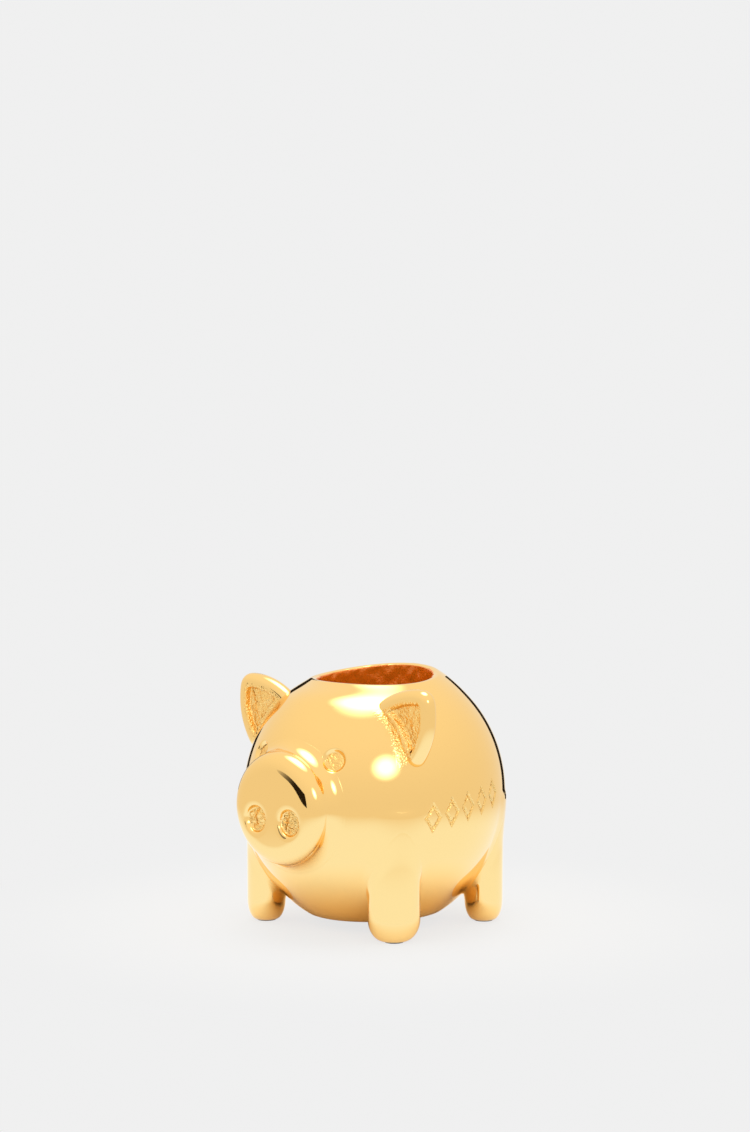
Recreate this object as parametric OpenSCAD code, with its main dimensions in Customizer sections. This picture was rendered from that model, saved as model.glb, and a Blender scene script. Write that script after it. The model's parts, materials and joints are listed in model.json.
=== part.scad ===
// Pig-shaped still bank: a hollow egg-shaped casting with a round mouth in the crown for coins.
// The snout, ears, legs and tail are castings of their own, and a screw plug closes the belly.
// Millimetres. +Z is up and the pig faces -Y.
// The origin is on the standing surface, under the axis of the mouth and the plug.

/* [Body] */
// Width of the round body
body_w = 80; // [76:1:96]
// Length of the round body, without snout and tail
body_l = 88.4; // [80:0.2:106.2]
// Height of the full round body, before the belly is cut flat
body_h = 88; // [82:1:104]
// Thickness of the cast wall
wall = 3; // [2.4:0.1:4]
// Width of the belly's flat outside the collar
belly_rim = 1.7; // [1:0.1:3]
// Height of the belly's flat above the standing surface
belly_gap = 3.5; // [3.3:0.1:10]
// Thickness of the belly's floor, round the plug
belly_t = 4; // [3:0.1:6]

/* [Mouth] */
// Diameter of the mouth
mouth_d = 37; // [32:0.5:40]
// Height of the straight wall inside the mouth
mouth_land = 7.4; // [4:0.1:9]
// Thickness of the neck round that wall
neck_t = 2.6; // [2:0.1:4]
// Depth of the flare at the mouth's lip, measured on the body's sides
lip_drop = 1.6; // [1.5:0.1:4]

/* [Snout] */
// Diameter of the snout
snout_d = 35.4; // [30:0.2:40]
// Distance that the snout's face stands in front of the body
snout_out = 4.8; // [4:0.1:12]
// Height of the snout's axis above the body's centre
snout_rise = 0.5; // [-2:0.1:3]
// Radius of the snout's front edge
snout_edge = 5; // [2:0.1:6]
// Diameter of a nostril
nostril_d = 8.4; // [6:0.1:10]
// Depth of a nostril
nostril_depth = 1.8; // [1:0.1:3]
// Distance between the nostrils' centres
nostril_gap = 13.7; // [11:0.1:16]
// Height of the nostrils below the snout's axis
nostril_drop = 3.4; // [0:0.1:5]
// Diameter of the snout's threaded stud
stud_d = 8; // [6:1:10]
// Diameter of the flat seat inside the wall, for the stud's washer
seat_d = 20; // [18:1:24]
// Thickness that the seat adds to the wall
seat_t = 2.6; // [2:0.1:4]
// Diameter of the stud's washer
washer_d = 16; // [14:0.5:17]
// Thickness of the stud's washer
washer_t = 1.6; // [1:0.1:2]
// Width of the stud's nut across its flats
nut_w = 13; // [10:0.5:14]
// Thickness of the stud's nut
nut_t = 6.5; // [4:0.1:8]

/* [Eyes] */
// Distance between the eyes' centres
eye_gap = 29.2; // [24:0.2:34]
// Height of the eyes above the body's centre
eye_rise = 16.4; // [12:0.1:20]
// Diameter of an eye's floor
eye_d = 6; // [4:0.1:8]
// Depth of an eye
eye_depth = 1.2; // [0.6:0.1:1.8]

/* [Ears] */
// Thickness of an ear
ear_t = 5.6; // [4:0.1:7]
// Distance from the mouth's axis forward to an ear's front face
ear_front = 21.7; // [18:0.1:24]
// Angle of an ear's root from the crown, round the body
ear_angle = 52.3; // [48:0.1:58]
// Width of an ear's rim round its hollow
ear_rim = 3.4; // [2:0.1:4.5]
// Depth of an ear's hollow
ear_hollow = 2; // [1:0.1:3]
// Diameter of an ear's and the tail's peg
peg_d = 3.2; // [2.4:0.1:4]

/* [Legs] */
// Direction of a leg's centre, from straight across the body
leg_angle = 39.7; // [34:0.1:46]
// Distance of a leg's centre inside the body's widest outline
leg_inset = 6.65; // [5.6:0.05:8]
// Width of a leg along the body's side
leg_w = 16.4; // [15:0.1:19]
// Thickness of a leg, across that
leg_t = 12.4; // [11:0.1:14]
// Radius of a leg's lower edge, across the leg
leg_edge = 3; // [1:0.1:3]
// Diameter of a leg's screw
screw_d = 3; // [2.5:0.5:3]
// Length of a leg's screw, under its head
screw_l = 20; // [18:1:22]
// Diameter of the screw's head
screw_head_d = 5.5; // [4.5:0.1:5.6]
// Height of the screw's head
screw_head_h = 2.4; // [1.8:0.1:2.6]
// Diameter of a foot pad and of its recess
pad_d = 6; // [5.8:0.1:6.4]
// Thickness of a foot pad
pad_t = 2.6; // [2:0.1:3]
// Height of a pad's face below the leg's sole
pad_proud = 0.3; // [0.1:0.1:0.6]

/* [Tail] */
// Radius of the tail's curl, at the middle of its bar
curl_r = 4.2; // [3.5:0.1:5]
// Diameter of the tail's bar
tail_d = 4; // [3:0.1:4.6]
// Height of the tail above the body's centre
tail_rise = 3; // [-4:0.5:10]

/* [Belly plug] */
// Diameter of the plug's thread
thread_d = 28; // [23:0.2:34]
// Length of the plug's thread
thread_l = 6; // [5:0.1:8]
// Thickness of the threaded collar's wall, round its thread and round its recess
collar_t = 2; // [1.5:0.1:2.5]
// Height of the collar's sleeve above the belly's floor
sleeve_h = 4; // [3:0.1:6]
// Radial clearance between the plug's and the collar's threads
thread_clear = 0.1; // [0.05:0.01:0.2]
// Width of the plug's head outside its thread
head_over = 2.5; // [1.5:0.1:3]
// Radial clearance between the plug's head and the collar's recess
head_clear = 0.3; // [0.2:0.05:0.6]
// Thickness of the plug's head
plug_head_t = 1.8; // [1.4:0.1:2.2]
// Thickness of the fibre washer under the head
gasket_t = 0.8; // [0.5:0.1:1.1]
// Width of the washer's gap round the thread
gasket_clear = 0.2; // [0.1:0.1:0.4]
// Width of the slot that a coin turns the plug with
slot_w = 2.6; // [2:0.1:3.5]
// Length of that slot
slot_l = 25; // [18:0.5:27]
// Depth of that slot
slot_depth = 1.5; // [1:0.1:2]
// Diameter of the dish in the plug's top
dish_d = 21; // [12:0.5:22]
// Depth of that dish
dish_depth = 3; // [1:0.1:3.5]

/* [Flank band] */
// Number of lozenges engraved along the left flank
lozenge_n = 5; // [1:1:6]
// Width of a lozenge
lozenge_w = 5.8; // [3:0.1:6.5]
// Height of a lozenge
lozenge_h = 9.6; // [6:0.1:11]
// Distance from one lozenge to the next
lozenge_pitch = 6.9; // [6.6:0.1:8]
// Rise from one lozenge to the next, towards the tail
lozenge_rise = 1.1; // [-1.5:0.1:1.5]
// Width of the engraved line
line_w = 1.1; // [0.6:0.1:1.4]
// Depth of the engraved line
line_depth = 0.6; // [0.3:0.1:1]

/* [Hidden] */
$fn = 96;

eps = 0.01;                    // overlap that keeps a cut's end off a face
far = 200;                     // longer than the whole bank
semi = [body_w, body_l, body_h] / 2;
inner = semi - [wall, wall, wall];

function drop_at(half, along) = body_h / 2 * sqrt(1 - pow(half / (along / 2), 2));
function reach_at(x, z) = body_l / 2 * sqrt(1 - pow(2 * x / body_w, 2) - pow(2 * z / body_h, 2));

head_r = thread_d / 2 + head_over;
recess_r = head_r + head_clear;
collar_r = recess_r + collar_t;
belly_drop = drop_at(collar_r + belly_rim, body_w);
centre_z = belly_gap + belly_drop;
floor_z = belly_gap + belly_t;

mouth_r = mouth_d / 2;
lip_z = centre_z + drop_at(mouth_r, body_w) - lip_drop;
land_z = lip_z - mouth_land;

snout_z = centre_z + snout_rise;
snout_reach = body_l / 2 + snout_out;
seat_y = -(body_l / 2 - wall - seat_t);
stud_clear = 0.2;
stud_out = 1.5;                // length of stud that shows past its nut
stud_end = seat_y + washer_t + nut_t + stud_out;
nostril_bevel = 0.8;
eye_bevel = 1.1;

leg_r = 1 / norm([cos(leg_angle) / semi[0], sin(leg_angle) / semi[1]]) - leg_inset;
leg_x = leg_r * cos(leg_angle);
leg_y = leg_r * sin(leg_angle);
sole_z = pad_proud;
head_gap = 0.4;                // room between a foot pad and the screw's head
screw_z = pad_t + head_gap;    // underside of the screw's head
leg_washer_t = 0.6;
leg_seat_z = screw_z + screw_head_h + leg_washer_t;
screw_tip_z = leg_seat_z - leg_washer_t + screw_l;
screw_hole_clear = 0.2;
boss_r = screw_d / 2 + 2.5;
boss_z = screw_tip_z + 1;

tail_z = centre_z + tail_rise;
tail_y = snout_reach - tail_d / 2;
peg_out = 1;                   // length of a peg that shows inside the wall
curl_turn = 285;
knob = 0.4;                    // what the ends of the curl are thicker by

plug_r = thread_d / 2 - thread_clear;
gasket_z = belly_gap + plug_head_t;    // the plug's head lies flush with the belly
recess_z = gasket_z + gasket_t;

lozenge_y = -15.8;             // middle of the first lozenge
lozenge_z = -2;                // its height above the body's centre

// Circles of an ear's outline: across and up from the ear's root, and radius.
ear_tip = [6.7, 8.9, 4.4];
ear_crown = [0, 7.9, 4.6];
ear_heel = [-7.2, 5.7, 3.6];
ear_side = [7.2, 0.7, 3.8];
ear_lobe = [4.4, -7.7, 3];
ear_inside = [[-6.6, 1.7, 0], [1.4, -8.3, 0]];   // where the hollow runs out into the body
ear_lean = 34;                 // angle of the peg from upright
ear_y = -ear_front + ear_t / 2;
peg_y = -ear_front + (ear_hollow + ear_t) / 2;   // the peg leaves the ear behind its hollow
ear_x = semi[0] * sqrt(1 - pow(ear_y / semi[1], 2)) * sin(ear_angle);
ear_z = centre_z + semi[2] * sqrt(1 - pow(ear_y / semi[1], 2)) * cos(ear_angle);

module egg(half) {
    translate([0, 0, centre_z]) scale(half / half[0]) rotate([0, 0, 180]) sphere(r = half[0]);
}

// Everything above height z.
module above(z) {
    translate([-far / 2, -far / 2, z]) cube(far);
}

// A cylinder whose axis runs towards +Y, from the plane y = from to y = to.
module along_y(x, from, to, z, r) {
    translate([x, from, z]) rotate([-90, 0, 0]) cylinder(r = r, h = to - from);
}

module at_legs() {
    for (x = [-1, 1], y = [-1, 1]) translate([x * leg_x, y * leg_y, 0]) children();
}

// The sand core: the hollow inside the body, with room for the neck, bosses and seat.
module core() {
    difference() {
        intersection() {
            egg(inner);
            above(floor_z);
        }
        translate([0, 0, land_z]) cylinder(r = mouth_r + neck_t, h = far);
        at_legs() cylinder(r = boss_r, h = boss_z);
        along_y(0, -far, seat_y, snout_z, seat_d / 2);
    }
}

module mouth_cut() {
    flare = 2 * lip_drop;
    translate([0, 0, land_z - eps]) cylinder(r = mouth_r, h = far);
    translate([0, 0, lip_z]) cylinder(r1 = mouth_r, r2 = mouth_r + flare, h = flare);
}

module eye_cut(side) {
    x = side * eye_gap / 2;
    y = -reach_at(x, eye_rise);
    out = [x / pow(semi[0], 2), y / pow(semi[1], 2), eye_rise / pow(semi[2], 2)];
    translate([x, y, centre_z + eye_rise])
        rotate([0, acos(out[2] / norm(out)), atan2(out[1], out[0])])
            rotate_extrude()
                polygon([[0, -eye_depth], [eye_d / 2, -eye_depth],
                    [eye_d / 2 + eye_bevel, 1], [0, 1]]);
}

module lozenge(w, h) {
    polygon([[-w / 2, 0], [0, -h / 2], [w / 2, 0], [0, h / 2]]);
}

module flank_cut() {
    slant = norm([lozenge_w, lozenge_h]) / lozenge_h;   // keeps the line one width all round
    in_w = lozenge_w - 2 * line_w * slant;
    in_h = lozenge_h * in_w / lozenge_w;
    difference() {
        for (i = [0 : lozenge_n - 1])
            translate([0, lozenge_y + i * lozenge_pitch, centre_z + lozenge_z + i * lozenge_rise])
                rotate([90, 0, 90]) linear_extrude(far / 2) difference() {
                    lozenge(lozenge_w, lozenge_h);
                    lozenge(in_w, in_h);
                }
        egg(semi - [line_depth, line_depth, line_depth]);
    }
}

module ear_peg(side, r) {
    translate([side * ear_x, peg_y, ear_z])
        rotate([0, side * ear_lean, 0])
            translate([0, 0, -wall - peg_out - r]) cylinder(r = r, h = 2 * wall + peg_out + r);
}

module body_shell() {
    color("gold") difference() {
        intersection() {
            egg(semi);
            above(belly_gap);
        }
        core();
        mouth_cut();
        translate([0, 0, belly_gap - eps]) cylinder(r = collar_r, h = belly_t + 1);
        at_legs() cylinder(r = screw_d / 2, h = boss_z + 1);
        along_y(0, -far / 2, seat_y + 1, snout_z, stud_d / 2 + stud_clear);
        along_y(0, body_l / 2 - 3 * wall, body_l / 2 + 1, tail_z, peg_d / 2);
        for (side = [-1, 1]) {
            eye_cut(side);
            ear_peg(side, peg_d / 2);
        }
        flank_cut();
    }
}

module snout() {
    r = snout_d / 2;
    color("gold") difference() {
        union() {
            difference() {
                translate([0, -snout_reach, snout_z]) rotate([-90, 0, 0]) rotate_extrude() {
                    translate([0, snout_edge]) square([r, snout_reach - body_l / 4]);
                    square([r - snout_edge, snout_edge + eps]);
                    intersection() {
                        translate([r - snout_edge, snout_edge]) circle(r = snout_edge);
                        square([r, snout_edge + eps]);
                    }
                }
                egg(semi);
            }
            along_y(0, -snout_reach + 2 * nostril_depth, stud_end, snout_z, stud_d / 2);
        }
        for (side = [-1, 1])
            translate([side * nostril_gap / 2, -snout_reach, snout_z - nostril_drop])
                rotate([-90, 0, 0]) rotate_extrude()
                    polygon([[0, -1], [nostril_d / 2 + nostril_bevel, -1],
                        [nostril_d / 2 + nostril_bevel, 0],
                        [nostril_d / 2, nostril_bevel], [nostril_d / 2, nostril_depth],
                        [0, nostril_depth]]);
    }
}

module snout_washer() {
    color("silver") difference() {
        along_y(0, seat_y, seat_y + washer_t, snout_z, washer_d / 2);
        along_y(0, seat_y - 1, seat_y + washer_t + 1, snout_z, stud_d / 2 + stud_clear);
    }
}

module snout_nut() {
    color("silver") translate([0, seat_y + washer_t, snout_z]) rotate([-90, 0, 0]) difference() {
        cylinder(d = nut_w / cos(30), h = nut_t, $fn = 6);
        translate([0, 0, -1]) cylinder(r = stud_d / 2, h = nut_t + 2);
    }
}

// A flat bead of an ear's outline: an ellipsoid as thick as the ear.
module ear_bead(c, side) {
    translate([side * (ear_x + c[0]), ear_y, ear_z + c[1]])
        scale([1, ear_t / 2 / c[2], 1]) sphere(r = c[2], $fn = 24);
}

// A corner of an ear's hollow, which lies within the rim.
module hollow_corner(c, side) {
    translate([side * (ear_x + c[0]), -ear_front - 1, ear_z + c[1]]) rotate([-90, 0, 0])
        cylinder(r = max(0.4, c[2] - ear_rim), h = ear_hollow + 1, $fn = 24);
}

module ear(side) {
    color("gold") union() {
        difference() {
            hull() for (c = [ear_tip, ear_crown, ear_heel, ear_side, ear_lobe]) ear_bead(c, side);
            hull() for (c = concat([ear_tip, ear_crown, ear_side], ear_inside)) hollow_corner(c, side);
            egg(semi);
        }
        intersection() {
            ear_peg(side, peg_d / 2);
            egg(semi + [0.5, 0.5, 0.5]);
        }
    }
}

module left_ear() {
    ear(1);
}

module right_ear() {
    ear(-1);
}

// One leg, at the corner that side and end name: 1 is left or rear, -1 is right or front.
module leg(side, end) {
    color("gold") difference() {
        translate([side * leg_x, end * leg_y, sole_z])
            rotate([0, 0, atan2(-end * leg_y, -side * leg_x)]) scale([leg_t / leg_w, 1, 1])
                rotate_extrude() {
                edge = leg_edge * leg_w / leg_t;
                translate([0, edge]) square([leg_w / 2, centre_z - edge]);
                square([leg_w / 2 - edge, edge + eps]);
                intersection() {
                    translate([leg_w / 2 - edge, edge]) circle(r = edge);
                    square([leg_w / 2, edge + eps]);
                }
            }
        egg(semi);
        translate([side * leg_x, end * leg_y, 0]) {
            cylinder(r = pad_d / 2, h = leg_seat_z);
            cylinder(r = screw_d / 2 + screw_hole_clear, h = centre_z);
        }
    }
}

module front_left_leg() {
    leg(1, -1);
}

module front_right_leg() {
    leg(-1, -1);
}

module rear_left_leg() {
    leg(1, 1);
}

module rear_right_leg() {
    leg(-1, 1);
}

module leg_screws() {
    color("silver") at_legs() difference() {
        union() {
            translate([0, 0, screw_z]) cylinder(d = screw_head_d, h = screw_head_h);
            translate([0, 0, screw_z]) cylinder(d = screw_d, h = screw_tip_z - screw_z);
        }
        translate([0, 0, screw_z - eps]) cylinder(d = screw_d / cos(30), h = screw_head_h / 2, $fn = 6);
    }
}

module leg_washers() {
    color("silver") at_legs() translate([0, 0, leg_seat_z - leg_washer_t]) difference() {
        cylinder(d = screw_head_d, h = leg_washer_t);
        translate([0, 0, -1]) cylinder(r = screw_d / 2 + screw_hole_clear / 2, h = leg_washer_t + 2);
    }
}

module foot_pads() {
    color("dimgray") at_legs() cylinder(d = pad_d, h = pad_t);
}

// A curl of round bar that lies against the rump, on a peg through the wall.
module tail() {
    color("gold") union() {
        translate([-curl_r, tail_y, tail_z]) rotate([90, 0, 0]) rotate([0, 0, -90])
            rotate_extrude(angle = curl_turn) translate([curl_r, 0]) circle(d = tail_d);
        for (end = [0, curl_turn])
            translate([-curl_r, tail_y, tail_z]) rotate([0, 90 - end, 0]) translate([curl_r, 0, 0])
                sphere(d = tail_d + knob);
        along_y(0, body_l / 2 - 2 * wall - peg_out, tail_y, tail_z, peg_d / 2);
    }
}

module belly_collar() {
    color("goldenrod") difference() {
        union() {
            translate([0, 0, belly_gap]) cylinder(r = collar_r, h = belly_t);
            translate([0, 0, belly_gap]) cylinder(r = thread_d / 2 + collar_t, h = belly_t + sleeve_h);
        }
        translate([0, 0, belly_gap - 1]) cylinder(r = thread_d / 2, h = belly_t + sleeve_h + 2);
        translate([0, 0, belly_gap - 1]) cylinder(r = recess_r, h = recess_z - belly_gap + 1);
    }
}

module plug_gasket() {
    color("dimgray") translate([0, 0, gasket_z]) difference() {
        cylinder(r = head_r, h = gasket_t);
        translate([0, 0, -1]) cylinder(r = plug_r + gasket_clear, h = gasket_t + 2);
    }
}

module belly_plug() {
    color("goldenrod") difference() {
        union() {
            translate([0, 0, belly_gap]) cylinder(r = head_r, h = plug_head_t);
            translate([0, 0, belly_gap]) cylinder(r = plug_r, h = plug_head_t + thread_l);
        }
        translate([0, 0, gasket_z + thread_l - dish_depth]) cylinder(d = dish_d, h = dish_depth + 1);
        translate([-slot_l / 2, -slot_w / 2, belly_gap - 1])
            cube([slot_l, slot_w, slot_depth + 1]);
    }
}

body_shell();
snout();
snout_washer();
snout_nut();
left_ear();
right_ear();
front_left_leg();
front_right_leg();
rear_left_leg();
rear_right_leg();
leg_screws();
leg_washers();
foot_pads();
tail();
belly_collar();
plug_gasket();
belly_plug();
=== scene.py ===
"""A gold-plated pig-shaped still bank with an open mouth in its crown, dressed for rendering."""

import json
import logging
import math
from dataclasses import dataclass, field
from enum import Enum
from typing import Callable, Optional

import bmesh
import bpy
from mathutils import Matrix, Vector, noise

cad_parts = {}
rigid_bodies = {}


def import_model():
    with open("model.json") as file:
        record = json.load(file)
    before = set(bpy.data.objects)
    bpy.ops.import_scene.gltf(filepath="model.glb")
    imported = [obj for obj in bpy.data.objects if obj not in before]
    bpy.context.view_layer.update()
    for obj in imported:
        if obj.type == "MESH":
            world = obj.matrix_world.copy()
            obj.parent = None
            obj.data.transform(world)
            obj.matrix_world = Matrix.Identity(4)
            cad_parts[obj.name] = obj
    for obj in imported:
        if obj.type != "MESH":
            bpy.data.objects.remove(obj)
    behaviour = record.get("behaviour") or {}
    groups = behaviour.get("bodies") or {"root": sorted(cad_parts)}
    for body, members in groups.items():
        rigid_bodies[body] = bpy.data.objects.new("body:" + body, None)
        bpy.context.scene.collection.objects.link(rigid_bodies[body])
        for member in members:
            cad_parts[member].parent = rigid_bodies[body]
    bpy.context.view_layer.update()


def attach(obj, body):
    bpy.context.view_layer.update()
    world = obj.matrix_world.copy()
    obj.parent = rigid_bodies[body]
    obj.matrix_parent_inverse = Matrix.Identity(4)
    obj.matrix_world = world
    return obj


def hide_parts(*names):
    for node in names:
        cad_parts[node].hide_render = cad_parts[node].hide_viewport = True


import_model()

LOG = logging.getLogger("still_bank")

Place = Callable[[float, int], Vector]


def mm(value: float) -> float:
    """Millimetres as metres."""
    return value * 0.001


def smooth(low: float, high: float, value: float) -> float:
    """Ease from 0 at low to 1 at high.

    Args:
        low: The value that gives 0.
        high: The value that gives 1.
        value: The value to ease.

    Returns:
        A number from 0 to 1.
    """
    t = min(1.0, max(0.0, (value - low) / (high - low)))
    return t * t * (3.0 - 2.0 * t)


def solve(func: Callable[[float], float], low: float, high: float) -> float:
    """Find where a rising or falling function crosses zero.

    Args:
        func: The function.
        low: One end of the search.
        high: The other end.

    Returns:
        The crossing.
    """
    rising = func(high) > func(low)
    for _ in range(40):
        mid = 0.5 * (low + high)
        if (func(mid) < 0.0) == rising:
            low = mid
        else:
            high = mid
    return 0.5 * (low + high)


class Slot(Enum):
    """Material slots of the record."""

    GOLD = "gold_plate"
    BRASS = "turned_brass"


# --------------------------------------------------------------------------- finishes


@dataclass(frozen=True)
class GoldPlate:
    """Mirror-polished gold plate that turns rough as cast where the wheel didn't reach.

    The vertex attribute cast is 0 on polished metal and 1 on rough metal, and inner is 1 on the
    bore and the chamber, which take a dark reddish colour as painted shade.
    """

    name: str = "polished_gold_plate"
    polished: tuple[float, float, float] = (1.0, 0.675, 0.262)
    deep: tuple[float, float, float] = (1.0, 0.60, 0.17)
    # Dark reddish colour painted on the bore and the chamber as their shade.
    inside: tuple[float, float, float] = (0.82, 0.19, 0.007)
    polish_roughness: float = 0.03
    cast_roughness: float = 0.17
    grain: float = 1500.0
    grain_height: float = 0.00022

    def make(self) -> bpy.types.Material:
        """Build the material.

        Returns:
            The material.
        """
        mat = bpy.data.materials.new(self.name)
        mat.use_nodes = True
        nodes, links = mat.node_tree.nodes, mat.node_tree.links
        shader = nodes["Principled BSDF"]
        shader.inputs["Metallic"].default_value = 1.0
        coords = nodes.new("ShaderNodeTexCoord")
        cast = nodes.new("ShaderNodeAttribute")
        cast.attribute_name = "cast"

        tone = nodes.new("ShaderNodeTexNoise")
        tone.inputs["Scale"].default_value = 420.0
        tone.inputs["Detail"].default_value = 4.0
        links.new(coords.outputs["Object"], tone.inputs["Vector"])
        rough_tone = nodes.new("ShaderNodeMath")
        rough_tone.operation = "MULTIPLY"
        links.new(tone.outputs["Fac"], rough_tone.inputs[0])
        links.new(cast.outputs["Fac"], rough_tone.inputs[1])
        colour = nodes.new("ShaderNodeMix")
        colour.data_type = "RGBA"
        colour.inputs["A"].default_value = (*self.polished, 1.0)
        colour.inputs["B"].default_value = (*self.deep, 1.0)
        links.new(rough_tone.outputs[0], colour.inputs["Factor"])
        inner = nodes.new("ShaderNodeAttribute")
        inner.attribute_name = "inner"
        # Painted shade: where inner is 1, the colour turns to the dark reddish inside colour.
        inside_shade = nodes.new("ShaderNodeMix")
        inside_shade.data_type = "RGBA"
        inside_shade.inputs["B"].default_value = (*self.inside, 1.0)
        links.new(inner.outputs["Fac"], inside_shade.inputs["Factor"])
        links.new(colour.outputs["Result"], inside_shade.inputs["A"])
        links.new(inside_shade.outputs["Result"], shader.inputs["Base Color"])
        dull = nodes.new("ShaderNodeMath")
        dull.operation = "MULTIPLY_ADD"
        dull.inputs[1].default_value = -0.75
        dull.inputs[2].default_value = 1.0
        links.new(inner.outputs["Fac"], dull.inputs[0])
        links.new(dull.outputs[0], shader.inputs["Metallic"])

        # Fine haze from the polishing wheel, and the open grain of the casting.
        haze = nodes.new("ShaderNodeTexNoise")
        haze.inputs["Scale"].default_value = 90.0
        haze.inputs["Detail"].default_value = 3.0
        links.new(coords.outputs["Object"], haze.inputs["Vector"])
        haze_range = nodes.new("ShaderNodeMapRange")
        haze_range.inputs["From Min"].default_value = 0.35
        haze_range.inputs["From Max"].default_value = 0.75
        haze_range.inputs["To Min"].default_value = self.polish_roughness
        haze_range.inputs["To Max"].default_value = self.polish_roughness * 1.8
        links.new(haze.outputs["Fac"], haze_range.inputs["Value"])
        rough = nodes.new("ShaderNodeMix")
        rough.data_type = "FLOAT"
        rough.inputs["B"].default_value = self.cast_roughness
        links.new(cast.outputs["Fac"], rough.inputs["Factor"])
        links.new(haze_range.outputs["Result"], rough.inputs["A"])
        links.new(rough.outputs["Result"], shader.inputs["Roughness"])

        grain = nodes.new("ShaderNodeTexVoronoi")
        grain.inputs["Scale"].default_value = self.grain
        grain.inputs["Randomness"].default_value = 1.0
        links.new(coords.outputs["Object"], grain.inputs["Vector"])
        lumps = nodes.new("ShaderNodeTexNoise")
        lumps.inputs["Scale"].default_value = self.grain * 0.45
        lumps.inputs["Detail"].default_value = 6.0
        lumps.inputs["Roughness"].default_value = 0.65
        links.new(coords.outputs["Object"], lumps.inputs["Vector"])
        relief = nodes.new("ShaderNodeMath")
        relief.operation = "ADD"
        links.new(grain.outputs["Distance"], relief.inputs[0])
        links.new(lumps.outputs["Fac"], relief.inputs[1])
        height = nodes.new("ShaderNodeMath")
        height.operation = "MULTIPLY"
        calm = nodes.new("ShaderNodeMath")
        calm.operation = "MULTIPLY_ADD"
        calm.inputs[1].default_value = -0.8
        calm.use_clamp = True
        links.new(inner.outputs["Fac"], calm.inputs[0])
        links.new(cast.outputs["Fac"], calm.inputs[2])
        links.new(relief.outputs[0], height.inputs[0])
        links.new(calm.outputs[0], height.inputs[1])
        bump = nodes.new("ShaderNodeBump")
        bump.inputs["Strength"].default_value = 0.85
        bump.inputs["Distance"].default_value = self.grain_height
        links.new(height.outputs[0], bump.inputs["Height"])
        links.new(bump.outputs["Normal"], shader.inputs["Normal"])
        return mat


@dataclass(frozen=True)
class TurnedMetal:
    """Bare metal with fine rings from the lathe round the Z axis, or a plain satin plate."""

    name: str
    colour: tuple[float, float, float]
    roughness: float = 0.3
    rings: float = 2600.0
    ring_height: float = 0.000006

    def make(self) -> bpy.types.Material:
        """Build the material.

        Returns:
            The material.
        """
        mat = bpy.data.materials.new(self.name)
        mat.use_nodes = True
        nodes, links = mat.node_tree.nodes, mat.node_tree.links
        shader = nodes["Principled BSDF"]
        shader.inputs["Metallic"].default_value = 1.0
        coords = nodes.new("ShaderNodeTexCoord")
        wave = nodes.new("ShaderNodeTexWave")
        wave.wave_type = "RINGS"
        wave.rings_direction = "Z"
        wave.inputs["Scale"].default_value = self.rings / 10.0
        wave.inputs["Distortion"].default_value = 0.6
        wave.inputs["Detail"].default_value = 2.0
        links.new(coords.outputs["Object"], wave.inputs["Vector"])
        stain = nodes.new("ShaderNodeTexNoise")
        stain.inputs["Scale"].default_value = 160.0
        stain.inputs["Detail"].default_value = 5.0
        links.new(coords.outputs["Object"], stain.inputs["Vector"])
        colour = nodes.new("ShaderNodeMix")
        colour.data_type = "RGBA"
        colour.inputs["A"].default_value = (*self.colour, 1.0)
        colour.inputs["B"].default_value = (*(c * 0.72 for c in self.colour), 1.0)
        links.new(stain.outputs["Fac"], colour.inputs["Factor"])
        links.new(colour.outputs["Result"], shader.inputs["Base Color"])
        rough = nodes.new("ShaderNodeMapRange")
        rough.inputs["To Min"].default_value = self.roughness * 0.8
        rough.inputs["To Max"].default_value = self.roughness * 1.5
        links.new(stain.outputs["Fac"], rough.inputs["Value"])
        links.new(rough.outputs["Result"], shader.inputs["Roughness"])
        bump = nodes.new("ShaderNodeBump")
        bump.inputs["Strength"].default_value = 0.5
        bump.inputs["Distance"].default_value = self.ring_height
        links.new(wave.outputs["Fac"], bump.inputs["Height"])
        links.new(bump.outputs["Normal"], shader.inputs["Normal"])
        return mat


@dataclass(frozen=True)
class MattSolid:
    """A matt moulded or pressed material with a fine grain."""

    name: str
    dark: tuple[float, float, float]
    light: tuple[float, float, float]
    roughness: float
    grain: float

    def make(self) -> bpy.types.Material:
        """Build the material.

        Returns:
            The material.
        """
        mat = bpy.data.materials.new(self.name)
        mat.use_nodes = True
        nodes, links = mat.node_tree.nodes, mat.node_tree.links
        shader = nodes["Principled BSDF"]
        shader.inputs["Roughness"].default_value = self.roughness
        coords = nodes.new("ShaderNodeTexCoord")
        grain = nodes.new("ShaderNodeTexNoise")
        grain.inputs["Scale"].default_value = self.grain
        grain.inputs["Detail"].default_value = 6.0
        links.new(coords.outputs["Object"], grain.inputs["Vector"])
        ramp = nodes.new("ShaderNodeValToRGB")
        ramp.color_ramp.elements[0].position = 0.35
        ramp.color_ramp.elements[0].color = (*self.dark, 1.0)
        ramp.color_ramp.elements[1].position = 0.7
        ramp.color_ramp.elements[1].color = (*self.light, 1.0)
        links.new(grain.outputs["Fac"], ramp.inputs["Fac"])
        links.new(ramp.outputs["Color"], shader.inputs["Base Color"])
        bump = nodes.new("ShaderNodeBump")
        bump.inputs["Strength"].default_value = 0.4
        bump.inputs["Distance"].default_value = 0.00005
        links.new(grain.outputs["Fac"], bump.inputs["Height"])
        links.new(bump.outputs["Normal"], shader.inputs["Normal"])
        return mat


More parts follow.
